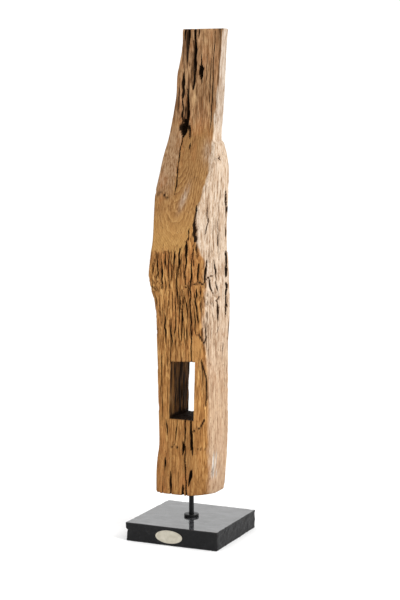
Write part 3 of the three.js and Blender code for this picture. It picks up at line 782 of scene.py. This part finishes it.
# Painted shade and dirt on the new walls: darker the deeper a point lies in the slot, streaked, and darker
# still on the slot's floor. The hole's walls are dark throughout.
wall_shade_and_dirt = 0.37 + 0.17 * step(-46, 10, y) + 1.25 * (streak - 0.45)
wall_shade_and_dirt = wall_shade_and_dirt + 0.5 * step(253, 246, z) * step(-50, -42, y)
marks = np.where(is_new, np.where(z > BELOW_SLOT, np.clip(wall_shade_and_dirt, 0.2, 1), 0.8), marks)
colours.reshape(-1, 4)[is_new] = (0, 0, 0, 1)
layer_of_shade_and_dirt.foreach_set("value", marks.astype(np.float32))
tones.foreach_set("color", colours.astype(np.float32))
print("points on new walls:", int(is_new.sum()))

# %% [markdown]
# ## Building a material
#
# Every finish is a small graph of nodes. These helpers add a node, set its sockets by name and join it
# up, so that each recipe below reads as a list of steps. All patterns use Object coordinates, so they
# stay on the piece.

# %% Node helpers
class Recipe:
    def __init__(self, name):
        self.material = bpy.data.materials.new(name)
        self.material.use_nodes = True
        self.tree = self.material.node_tree
        self.shader = self.tree.nodes["Principled BSDF"]
        self.place = self.node("TexCoord").outputs["Object"]

    def node(self, kind, inputs=(), **settings):
        made = self.tree.nodes.new("ShaderNode" + kind)
        for key, value in settings.items():
            setattr(made, key, value)
        for key, value in dict(inputs).items():
            self.feed(made.inputs[key], value)
        return made

    def feed(self, socket, value):
        if isinstance(value, bpy.types.NodeSocket):
            self.tree.links.new(value, socket)
        else:
            socket.default_value = value

    def noise(self, scale, detail=3, distortion=0.0):
        mapped = self.node("Mapping", {"Vector": self.place, "Scale": scale}).outputs["Vector"]
        settings = {"Vector": mapped, "Scale": 1.0, "Detail": detail, "Distortion": distortion}
        return self.node("TexNoise", settings).outputs["Fac"]

    def mark(self, name, output="Fac"):
        return self.node("Attribute", attribute_name=name).outputs[output]

    def remap(self, value, low, high, to_low=0.0, to_high=1.0):
        settings = {"Value": value, "From Min": low, "From Max": high, "To Min": to_low, "To Max": to_high}
        return self.node("MapRange", settings, clamp=True).outputs["Result"]

    def times(self, a, b):
        return self.node("Math", {0: a, 1: b}, operation="MULTIPLY").outputs["Value"]

    def wave(self, place, kind, scale, distortion, detail, **sockets):
        inputs = {"Vector": place, "Scale": scale, "Distortion": distortion, "Detail": detail, **sockets}
        return self.node("TexWave", inputs, **kind).outputs["Fac"]

    def ramp(self, value, stops):
        made = self.node("ValToRGB", {"Fac": value})
        points = made.color_ramp.elements
        for spot, _ in stops[1:-1]:
            points.new(spot)
        for point, (spot, colour) in zip(points, stops):
            point.position = spot
            point.color = (*colour, 1)
        return made.outputs["Color"]

    def mix(self, share, a, b):
        return self.node("Mix", {0: share, 2: a, 3: b}).outputs[0]

    def blend(self, share, a, b):
        a, b = ((*colour, 1) if isinstance(colour, tuple) else colour for colour in (a, b))
        return self.node("Mix", {0: share, 6: a, 7: b}, data_type="RGBA").outputs[2]

    def wash(self, base, colour, value, low, high, most=1.0):
        return self.blend(self.remap(value, low, high, 0.0, most), base, colour)

    def bump(self, height, strength, distance, below=None):
        settings = {"Height": height, "Strength": strength, "Distance": distance}
        if below:
            settings["Normal"] = below
        return self.node("Bump", settings).outputs["Normal"]

    def finish(self, **sockets):
        names = {"colour": "Base Color", "roughness": "Roughness", "normal": "Normal", "metal": "Metallic"}
        for key, value in sockets.items():
            self.feed(self.shader.inputs[names.get(key, key)], value)
        print("material", self.material.name, len(self.tree.nodes), "nodes")
        return self.material


def plain_finish(name, pattern, dark, light, roughness, relief, specular=0.5, metal=0.0):
    """One pattern moves the colour and the roughness, and a finer one gives the relief."""
    coat = Recipe(name)
    spots = coat.noise(*pattern)
    fine, strength, distance = relief
    coat.shader.inputs["Specular IOR Level"].default_value = specular
    return coat.finish(
        colour=coat.ramp(spots, [dark, light]), metal=metal,
        roughness=coat.remap(spots, 0.3, 0.7, *roughness),
        normal=coat.bump(coat.noise(fine, detail=2), strength, distance),
    )


print("a recipe can", [word for word in vars(Recipe) if not word.startswith("_")])

# %% [markdown]
# ## The weathered wood
#
# Old timber shows three patterns at once: growth rings round the log's middle, streaks along the fibres,
# and the stains of weather. The rings are a wave round an upright axis behind the scarf, so they come out
# as nested arches on the scarf and as lines on the flat faces. Here the patterns are mixed to a share
# from 0 to 1, once for the plain grain and once with the rings.

# %% Grain and rings
wood = Recipe("weathered_timber")
height = wood.node("SeparateXYZ", {"Vector": wood.place}).outputs["Z"]
tone = wood.node("SeparateColor", {"Color": wood.mark("tone", "Color")})
bleached, newly_cut, greyed = (tone.outputs[name] for name in ("Red", "Green", "Blue"))
hollow_shade_and_dirt = wood.mark("hollow")

sway = wood.node("TexNoise", {"Vector": wood.place, "Scale": 14.0, "Detail": 2.0}).outputs["Color"]
lean = wood.node("VectorMath", {0: sway, 1: (0.5, 0.5, 0.5)}, operation="SUBTRACT").outputs[0]
lean = wood.node("VectorMath", {0: lean, 3: 0.012}, operation="SCALE").outputs[0]
swayed = wood.node("VectorMath", {0: wood.place, 1: lean}, operation="ADD").outputs[0]
log_middle = wood.node("Mapping", {"Vector": swayed, "Location": (0.021, -0.002, 0)}).outputs["Vector"]
log_rings = {"wave_type": "RINGS", "rings_direction": "Z", "wave_profile": "SAW"}
rings = wood.wave(log_middle, log_rings, 74.0, 3.4, 4.0, **{"Detail Scale": 1.1})

streaks = wood.noise((290, 290, 17), detail=5, distortion=0.3)
fine = wood.noise((500, 500, 62))
mixed = wood.node("Math", {0: wood.times(streaks, 0.55), 1: wood.times(fine, 0.45)}, operation="ADD")
mixed = mixed.outputs["Value"]
calm, sharp = wood.remap(mixed, 0.38, 0.62, 0.16, 0.88), wood.remap(mixed, 0.4, 0.6, 0.1, 0.9)
grain = wood.mix(wood.remap(height, 0.2, 0.38), calm, sharp)
faded = wood.remap(wood.noise((45, 45, 22), detail=2), 0.4, 0.6, 0.2, 0.85)
with_rings = wood.mix(wood.times(wood.remap(newly_cut, 0, 1, 0.25, 0.8), faded), grain, rings)
print("patterns so far take", len(wood.tree.nodes), "nodes")

# %% [markdown]
# ## The wood's colours
#
# Each share becomes a colour by a ramp from dark late wood to light early wood: brown for the old front,
# golden for the fresh cut, cream for the bleached side and silver for the grey patches. Thin washes are laid
# over the brown: stains as rain, rust and hands leave them, and a darkening above 0.63 m and below 0.27 m.
# Near the end the ridges get a painted highlight and the hollows painted shade with dirt, because these lie
# on top.

# %% Weathered wood
DARK_BROWN = (0.16, 0.072, 0.025)
brown = wood.ramp(with_rings, [
    (0.08, (0.105, 0.041, 0.012)), (0.34, (0.245, 0.108, 0.032)),
    (0.62, (0.375, 0.187, 0.06)), (0.92, (0.54, 0.31, 0.115)),
])
golden = wood.ramp(with_rings, [
    (0.05, (0.145, 0.062, 0.021)), (0.32, (0.26, 0.125, 0.043)),
    (0.62, (0.36, 0.19, 0.068)), (0.95, (0.46, 0.27, 0.108)),
])
cream = wood.ramp(grain, [
    (0.02, (0.25, 0.155, 0.095)), (0.28, (0.39, 0.275, 0.185)),
    (0.55, (0.47, 0.36, 0.265)), (0.95, (0.57, 0.47, 0.37)),
])
silver = wood.ramp(grain, [(0.15, (0.21, 0.165, 0.125)), (0.85, (0.56, 0.53, 0.49))])

base = wood.blend(newly_cut, brown, golden)
base = wood.wash(base, DARK_BROWN, wood.noise((26, 26, 6), detail=2), 0.35, 0.68, 0.34)
base = wood.wash(base, (0.03, 0.015, 0.008), height, 0.63, 0.72, 0.2)
base = wood.wash(base, DARK_BROWN, height, 0.27, 0.12, 0.2)
base = wood.wash(base, (0.37, 0.15, 0.05), wood.noise((32, 32, 13)), 0.5, 0.66, 0.4)
low_cut = wood.times(wood.remap(height, 0.66, 0.6, 0.0, 0.5), newly_cut)
base = wood.blend(low_cut, base, (0.47, 0.27, 0.085))
slanted = wood.node("Mapping", {"Vector": swayed, "Rotation": (0, 0.72, 0)}).outputs["Vector"]
saw_marks = wood.wave(slanted, {"wave_type": "BANDS", "bands_direction": "X"}, 78.0, 1.6, 2.0)
base = wood.blend(wood.times(wood.times(saw_marks, low_cut), 0.5), base, DARK_BROWN)
base = wood.blend(bleached, base, cream)
base = wood.wash(base, silver, greyed, 0.0, 1.0, 0.85)
# Painted highlight: where `hollow` is below zero, on the ridges and three spots on the tongue, the wood is
# painted lighter.
base = wood.wash(base, (0.57, 0.39, 0.205), hollow_shade_and_dirt, -0.05, -0.45, 0.5)
# Painted shade and dirt in the hollows, cracks and checks: near black where deepest, softer on the bleached
# side.
deep_shade_and_dirt = wood.ramp(wood.remap(hollow_shade_and_dirt, 0.25, 1.05), [
    (0.0, (0.075, 0.033, 0.012)), (0.5, (0.018, 0.008, 0.0035)), (1.0, (0.004, 0.002, 0.001)),
])
softer = wood.times(wood.remap(bleached, 0.5, 1.0, 0.0, 0.65), wood.remap(hollow_shade_and_dirt, 0.6, 1.0, 1.0, 0.0))
base = wood.wash(base, wood.blend(softer, deep_shade_and_dirt, (0.12, 0.058, 0.025)), hollow_shade_and_dirt, 0.08, 0.66, 0.97)
base = wood.wash(base, (0.07, 0.032, 0.014), wood.noise((430, 430, 150)), 0.58, 0.7, 0.5)

relief = wood.bump(fine, 0.55, 0.0009)
for pattern, strength, distance in ((streaks, 0.45, 0.0012), (rings, 0.12, 0.0006)):
    relief = wood.bump(pattern, strength, distance, relief)
wood.shader.inputs["Specular IOR Level"].default_value = 0.04
rough = wood.remap(grain, 0.3, 0.7, 0.86, 0.68)
timber.data.materials.clear()
timber.data.materials.append(wood.finish(colour=base, roughness=rough, normal=relief))
hand_over(timber, "weathered_timber", "driftwood", smooth_angle=65)

# %% [markdown]
# ## The stone slab
#
# The slab is black stone: polished flat on top, sawn below, and rough at its sides, with chips along the
# edges and one broken corner. It is wrapped like the timber: a ring of points every millimetre and a half
# up the sides, pushed in by stone noise and by the chips, with a level face at each end. Here is the slab
# as sawn, with rings closer together where its edges turn.

# %% The slab as sawn
SLAB_HALF, SLAB_FRONT, SLAB_TOP, ARRIS = 100, -98.6, 37, 0.9
COLUMNS_A_SIDE, RINGS_UP = 110, 24


def straight_slab():
    turn = np.array([0, 0.1, 0.3, 0.6, 1]) * np.pi / 2
    lower = ARRIS * (1 - np.cos(turn))
    sides = np.linspace(ARRIS, SLAB_TOP - ARRIS, RINGS_UP)[1:-1]
    heights = np.concatenate([[0], lower, sides, SLAB_TOP - lower[::-1], [SLAB_TOP]])
    corners = np.array([(-1, SLAB_FRONT), (1, SLAB_FRONT), (1, SLAB_HALF), (-1, SLAB_HALF)], float)
    corners[:, 0] *= SLAB_HALF
    even = np.arange(COLUMNS_A_SIDE)[:, None] / COLUMNS_A_SIDE
    share = 0.75 * even + 0.25 * (1 - np.cos(np.pi * even)) / 2
    outline = np.concatenate([a + (b - a) * share for a, b in zip(corners, np.roll(corners, -1, 0))])
    skin = np.empty((len(heights), len(outline), 3))
    skin[..., :2], skin[..., 2] = outline, heights[:, None]
    return skin


sawn = straight_slab()
print("slab net", sawn.shape)

# %% [markdown]
# ## Split the slab's sides
#
# The sides were split off with a chisel, so each point moves in towards the slab's middle by how rough
# its side is. The front is calmer, above all behind the plate, and one corner is broken. A chip is a
# ball, [x, y, z, radius], that the points inside it are pushed out of.

# %% The slab's skin
POCKET_RADIUS, POCKET_TOP = 14, 13.5
BROKEN_HEIGHTS, BROKEN_DEPTHS = [0, 4, 17, 21, 25, 37], [1.2, 1.6, 2.2, 3.4, 0.4, 0]
CHIPS = [
    [-102.5, -101.5, 14, 5.5], [-103, -101, 24, 5], [-101, -100.5, 2, 3.5], [-104, -60, 38.5, 5.5],
    [-60, -102.5, -1, 5], [101.5, -100.5, 39, 3.2], [103, -40, -1, 4.8], [30, 102.5, 38.5, 4.5],
    [-103, 45, -1.5, 5], [102.5, 102, 12, 5], [60, -101.6, 38.2, 3.4], [88, -101.5, -0.5, 4.2],
]


def from_ends(skin):
    return np.minimum(skin[..., 2], SLAB_TOP - skin[..., 2])


def split_sides(skin):
    rim = ARRIS - np.sqrt(np.maximum(ARRIS**2 - np.maximum(ARRIS - from_ends(skin), 0) ** 2, 0))
    bumps = 1.1 * noise(skin, (9, 9, 6), 81) + 0.5 * noise(skin, (3, 3, 2.4), 82)
    nick = 1.6 * step(0.66, 0.85, noise(skin, (5, 5, 60), 83)) * step(4, 0.5, from_ends(skin))
    plate_seat = np.exp(-(((skin[..., 0] + 4) / 38) ** 8)) * (skin[..., 1] < -90)
    calmer_front = (skin[..., 1] < SLAB_FRONT + 0.1) * 0.55
    rough = (bumps * (1 - calmer_front) + nick) * (1 - plate_seat) + rim
    corner_gap = np.hypot(skin[..., 0] + SLAB_HALF, skin[..., 1] - SLAB_FRONT)
    broken = np.interp(skin[..., 2], BROKEN_HEIGHTS, BROKEN_DEPTHS) * np.exp(-((corner_gap / 9) ** 2))
    rough = rough * (1 - 0.7 * np.exp(-((corner_gap / 12) ** 2))) + broken
    # The first and the last ring lie on the level faces, so they stand a little further in.
    rough[[0, -1]] += 1.5
    middle = np.array([0, (SLAB_FRONT + SLAB_HALF) / 2])
    half = np.array([SLAB_HALF, SLAB_HALF - middle[1]]) - rough[..., None]
    spot = np.clip(skin[..., :2] - middle, -half, half)
    # The upright corners are bent round, least at the broken one.
    bend = 2.6 - 1.6 * np.exp(-((corner_gap / 14) ** 2))[..., None]
    past = np.maximum(np.abs(spot) - (half - bend), 0)
    length = np.maximum(np.linalg.norm(past, axis=-1, keepdims=True), bend)
    skin[..., :2] = np.sign(spot) * (np.abs(spot) - past + past * bend / length) + middle
    for *centre, radius in CHIPS:
        gap = skin - centre
        distance = np.linalg.norm(gap, axis=-1, keepdims=True)
        inside = (distance < radius) & (from_ends(skin)[..., None] > 0)
        skin = np.where(inside, centre + gap * radius / np.maximum(distance, 1e-6), skin)
    skin[..., 2] = np.clip(skin[..., 2], 0, SLAB_TOP)
    return skin


stone_points = split_sides(sawn)
# The `edge` mark is 1 at the top and bottom rims, where the split sides get a painted highlight.
slab = wrap(stone_points, [("edge", "FLOAT", step(2.6, 0.4, from_ends(stone_points)))])
drill(slab, HOLE_RADIUS, -2, SLAB_TOP + 3, sides=96)
drill(slab, POCKET_RADIUS, -2, POCKET_TOP, sides=96)
print("slab", len(slab.data.polygons), "faces, with the rod's hole and a pocket below for the nut")

# %% [markdown]
# ## Polished and split stone
#
# One stone, two finishes. The polished top mirrors the room, softened a little by fine scratches and water
# marks. The split sides are matt and greyer, with a few bright crystals and a painted highlight, a lighter
# tone, along their top and bottom rims. So the slab gets two materials, and each face takes one by the way
# it points.

# %% Stone materials
FLECK_GREY = (0.16, 0.16, 0.165)


def stone_with_veins(name):
    stone = Recipe(name)
    veins = stone.noise((21, 21, 30), detail=6, distortion=2.2)
    off = stone.node("Math", {0: veins, 1: 0.5}, operation="SUBTRACT").outputs["Value"]
    off = stone.node("Math", {0: off}, operation="ABSOLUTE").outputs["Value"]
    return stone, stone.remap(off, 0.0, 0.012, 1.0, 0.0), stone.noise((38, 38, 38), detail=5, distortion=0.6)


def polished_stone():
    stone, vein, clouds = stone_with_veins("polished_stone")
    wiped = stone.noise((30, 95, 30), detail=5, distortion=0.8)
    base = stone.ramp(wiped, [(0.42, (0.003, 0.003, 0.0035)), (0.66, (0.07, 0.072, 0.077))])
    base = stone.blend(stone.times(vein, 0.22), base, FLECK_GREY)
    rough = stone.remap(clouds, 0.35, 0.7, 0.04, 0.2)
    stone.shader.inputs["IOR"].default_value = 2.05
    relief = stone.bump(stone.noise((60, 60, 60)), 0.05, 0.0008)
    return stone.finish(colour=base, roughness=rough, normal=relief)


def split_stone():
    stone, vein, clouds = stone_with_veins("split_stone")
    grains = stone.noise((900, 900, 900), detail=4)
    crystals = stone.node("TexVoronoi", {"Vector": stone.place, "Scale": 420.0}).outputs["Distance"]
    base = stone.ramp(grains, [(0.3, (0.0015, 0.0015, 0.0017)), (0.72, (0.011, 0.011, 0.0118))])
    base = stone.blend(stone.times(vein, 0.25), base, (0.05, 0.05, 0.052))
    # Painted highlight: the split sides are lighter within a few millimetres of the top and bottom rims.
    base = stone.blend(stone.times(stone.mark("edge"), 0.3), base, (0.045, 0.044, 0.044))
    base = stone.blend(stone.times(stone.remap(crystals, 0.0, 0.09, 1.0, 0.0), 0.5), base, FLECK_GREY)
    stone.shader.inputs["Specular IOR Level"].default_value = 0.14
    rough = stone.remap(grains, 0.3, 0.7, 0.34, 0.62)
    relief = stone.bump(clouds, 0.35, 0.002, stone.bump(grains, 0.5, 0.0008))
    return stone.finish(colour=base, roughness=rough, normal=relief)


slab.data.materials.clear()
slab.data.materials.append(split_stone())
slab.data.materials.append(polished_stone())
for face in slab.data.polygons:
    face.material_index = int(face.normal.z > 0.9 and face.center.z > (SLAB_TOP - 1) * MM)
hand_over(slab, "stone_slab", "stone_base", smooth_angle=35)

# %% [markdown]
# ## Turned steel: the rod, the collar and the washer
#
# Each of these is round, so each is one profile spun about the upright axis, as on a lathe. A profile is
# a list of (radius, height). The rod's lower end is threaded for the nut, which the profile shows as a
# row of teeth. The rod's profile begins and ends on the axis, so the loose edge that is left inside is
# deleted.

# %% Spin a profile
def spun(profile, steps=64):
    start_fresh()
    bpy.ops.mesh.primitive_circle_add(vertices=len(profile), radius=1, fill_type="NOTHING")
    piece = bpy.context.object
    send_to(piece, np.array([(radius, 0, height) for radius, height in profile], float))
    edit_all()
    bpy.ops.mesh.spin(steps=steps, angle=2 * math.pi, center=(0, 0, 0), axis=(0, 0, 1), use_auto_merge=True)
    close_up()
    edit_all()
    bpy.ops.mesh.delete_loose(use_verts=False, use_edges=True, use_faces=False)
    bpy.ops.object.mode_set(mode="OBJECT")
    return piece


def rounded(corners, radius, count=5):
    soft = []
    for i, corner in enumerate(corners):
        p, a, b = (np.array(q, float) for q in (corner, corners[i - 1], corners[(i + 1) % len(corners)]))
        r = min(radius, *(np.linalg.norm(q - p) * 0.45 for q in (a, b)))
        begin, stop = (p + (q - p) / np.linalg.norm(q - p) * r for q in (a, b))
        for t in np.linspace(0, 1, count):
            soft.append(tuple((1 - t) ** 2 * begin + 2 * t * (1 - t) * p + t**2 * stop))
    return soft


def ring(inner, outer, low, high, radius, count=5):
    return spun(rounded([(inner, low), (outer, low), (outer, high), (inner, high)], radius, count))


TEETH, TEETH_FROM, PITCH_OF_TEETH = 9, 2.6, 1.25
teeth = []
for turn in range(TEETH):
    low = TEETH_FROM + PITCH_OF_TEETH * turn
    teeth += [(4.35, low), (4.95, low + 0.5), (4.95, low + 0.75)]
steel_rod = spun([(0, 2), (4, 2), *teeth, (5, 14.4), (5, 149.2), (4.2, 150), (0, 150)], steps=48)
collar = ring(HOLE_RADIUS, 15, 37.3, 42.3, 1.4)
print("rod", len(steel_rod.data.polygons), "faces, collar", len(collar.data.polygons), "faces")

# %% [markdown]
# ## Black paint
#
# The stand is painted satin black. A sprayed coat has a faint orange peel, and handling rubs it a little
# smoother in places, so one pattern moves both its colour and its roughness, and a finer one gives the
# peel.

# %% Black steel
painted = plain_finish(
    "black_painted_steel", ((120, 120, 60), 4),
    (0.35, (0.002, 0.002, 0.0022)), (0.75, (0.008, 0.008, 0.0085)),
    roughness=(0.26, 0.46), relief=((700, 700, 700), 0.16, 0.0004), specular=0.2,
)
for piece, name, node in ((steel_rod, "steel_rod", "support_rod"), (collar, "steel_collar", "rod_collar")):
    piece.data.materials.append(painted)
    hand_over(piece, name, node)

# %% [markdown]
# ## The hidden washer and nut
#
# They sit in the slab's underside and clamp the rod. The nut is a six-sided bar. On a real one the
# corners are turned off at both ends, so a spun barrel is laid over it and only what both share is kept.

# %% Washer and nut
ACROSS_FLATS, NUT_HEIGHT, NUT_MIDDLE = 17, 8, 6.9
NUT_BARREL = [
    (5.3, 3.4), (5.9, 2.9), (8.3, 2.9), (9.9, 3.9), (9.9, 9.9), (8.3, 10.9), (5.9, 10.9), (5.3, 10.4),
]
plated = plain_finish(
    "zinc_plated_steel", ((160, 160, 160), 5, 0.8), (0.3, (0.34, 0.345, 0.35)), (0.7, (0.58, 0.585, 0.59)),
    roughness=(0.26, 0.5), relief=((1200, 1200, 160), 0.2, 0.0003), metal=1.0,
)
washer = ring(HOLE_RADIUS, 12, 11.2, 13.2, 0.35, 3)
washer.data.materials.append(plated)
hand_over(washer, "zinc_washer", "base_washer")

start_fresh()
bpy.ops.mesh.primitive_cylinder_add(
    vertices=6, radius=ACROSS_FLATS / math.sqrt(3) * MM, depth=NUT_HEIGHT * MM,
    location=(0, 0, NUT_MIDDLE * MM), rotation=(0, 0, math.pi / 6),
)
nut = bpy.context.object
bpy.ops.object.transform_apply(location=True, rotation=True, scale=True)
cut(nut, spun(NUT_BARREL), "INTERSECT", "EXACT")
nut.data.materials.append(plated)
hand_over(nut, "zinc_nut", "base_nut", smooth_angle=30)

# %% [markdown]
# ## The oval plate
#
# A small oval of pale metal is set on the slab's front. A disc is squashed to an oval and thickened, and
# its face is inset several times, so that a fine sunk line runs round just inside the edge. It is
# otherwise bare.

# %% The plate
PLATE_MIDDLE, PLATE_HALF, PLATE_BACK, PLATE_THICK = (-4, 17.5), (29, 13), -98.9, 0.95
INSETS = [(0.35, 0), (0.9, 0), (0.16, 0), (0.22, -0.16), (0.16, 0.12)]


def oval_plate():
    start_fresh()
    bpy.ops.mesh.primitive_circle_add(vertices=96, radius=1, fill_type="NGON")
    piece = bpy.context.object
    x, y = (points_of(piece) * MM)[:, :2].T
    across, up = PLATE_MIDDLE[0] + PLATE_HALF[0] * x, PLATE_MIDDLE[1] + PLATE_HALF[1] * y
    send_to(piece, np.stack([across, np.full(len(x), PLATE_BACK), up], -1))
    edit_all()
    bpy.ops.mesh.extrude_region_move(TRANSFORM_OT_translate={"value": (0, -PLATE_THICK * MM, 0)})
    for thickness, depth in INSETS:
        bpy.ops.mesh.inset(thickness=thickness * MM, depth=depth * MM)
    close_up()
    return piece


plate = oval_plate()
plate.data.materials.append(plain_finish(
    "pale_plate_metal", ((90, 90, 90), 5, 0.5), (0.3, (0.40, 0.37, 0.295)), (0.7, (0.52, 0.49, 0.41)),
    roughness=(0.5, 0.34), relief=((60, 60, 1500), 0.22, 0.0003), metal=0.75,
))
hand_over(plate, "oval_plate", "name_plate", smooth_angle=30)

# %% [markdown]
# ## The floor
#
# The object stands on a plain pale floor that runs out of sight, as on a roll of white paper. It is only
# stage, so it isn't part of the model, and it lies a hair below the slab so that the two don't flicker.

# %% Floor
paper = Recipe("pale_floor")
base = paper.ramp(paper.noise((55, 55, 55)), [(0.3, (0.92, 0.92, 0.92)), (0.7, (0.95, 0.95, 0.95))])
start_fresh()
bpy.ops.mesh.primitive_plane_add(size=40, location=(0, 0, -0.0006))
floor = bpy.context.object
floor.name = "floor"
bpy.ops.object.transform_apply(location=True, rotation=True, scale=True)
floor.data.materials.append(paper.finish(colour=base, roughness=0.9))

# %% [markdown]
# ## The light
#
# The room is white. One large soft light stands at the right and a bit in front, so the bleached side
# glows and the front falls into half shade, which is what brings out the furrows. A weaker one at the
# left keeps the shade from going black.

# %% Light
ROOM_STRENGTH = 1.14
world = bpy.data.worlds.new("white_room")
bpy.context.scene.world = world
world.use_nodes = True
room = world.node_tree.nodes["Background"].inputs
room["Color"].default_value, room["Strength"].default_value = (1, 1, 1, 1), ROOM_STRENGTH
bpy.context.scene.view_settings.view_transform = "Standard"


def softbox(name, place, size, watts, aim=(0, 0, 0.5)):
    start_fresh()
    bpy.ops.object.light_add(type="AREA", location=place)
    lamp = bpy.context.object
    lamp.name = name
    lamp.data.shape = "RECTANGLE"
    lamp.data.size, lamp.data.size_y = size
    lamp.data.energy = watts
    lamp.rotation_euler = (Vector(aim) - Vector(place)).to_track_quat("-Z", "Y").to_euler()
    print(name, watts, "watts at", place)


softbox("key_right", (2.2, -0.6, 1.5), (1.0, 1.8), 42)
softbox("fill_front_left", (-1.8, -2.4, 1.6), (1.6, 1.6), 10)

# %% [markdown]
# ## The camera
#
# Its place was worked out from the seven corners of the slab that the photo shows. They say little about
# the focal length, so a long lens was picked among those that fit nearly as well.

# %% Camera
AZIMUTH, PITCH = math.radians(24.24), math.radians(7.09)
DISTANCE, SIDEWAYS, AIM_HEIGHT, LENS, SENSOR = 3.192, 0.0173, 0.4783, 96, 36
sideways = np.array([math.cos(AZIMUTH), math.sin(AZIMUTH), 0])
level = np.array([-math.sin(AZIMUTH), math.cos(AZIMUTH), 0])
forward = level * math.cos(PITCH) - np.array([0, 0, math.sin(PITCH)])
aim = sideways * SIDEWAYS + np.array([0, 0, AIM_HEIGHT])
start_fresh()
spot = tuple(aim - forward * DISTANCE)
bpy.ops.object.camera_add(location=spot, rotation=(math.pi / 2 - PITCH, 0, AZIMUTH))
camera = bpy.context.object
camera.data.lens, camera.data.sensor_width, camera.data.sensor_fit = LENS, SENSOR, "AUTO"
bpy.context.scene.camera = camera
print("camera at", [round(v, 4) for v in camera.location])

# %% [markdown]
# ## Finish
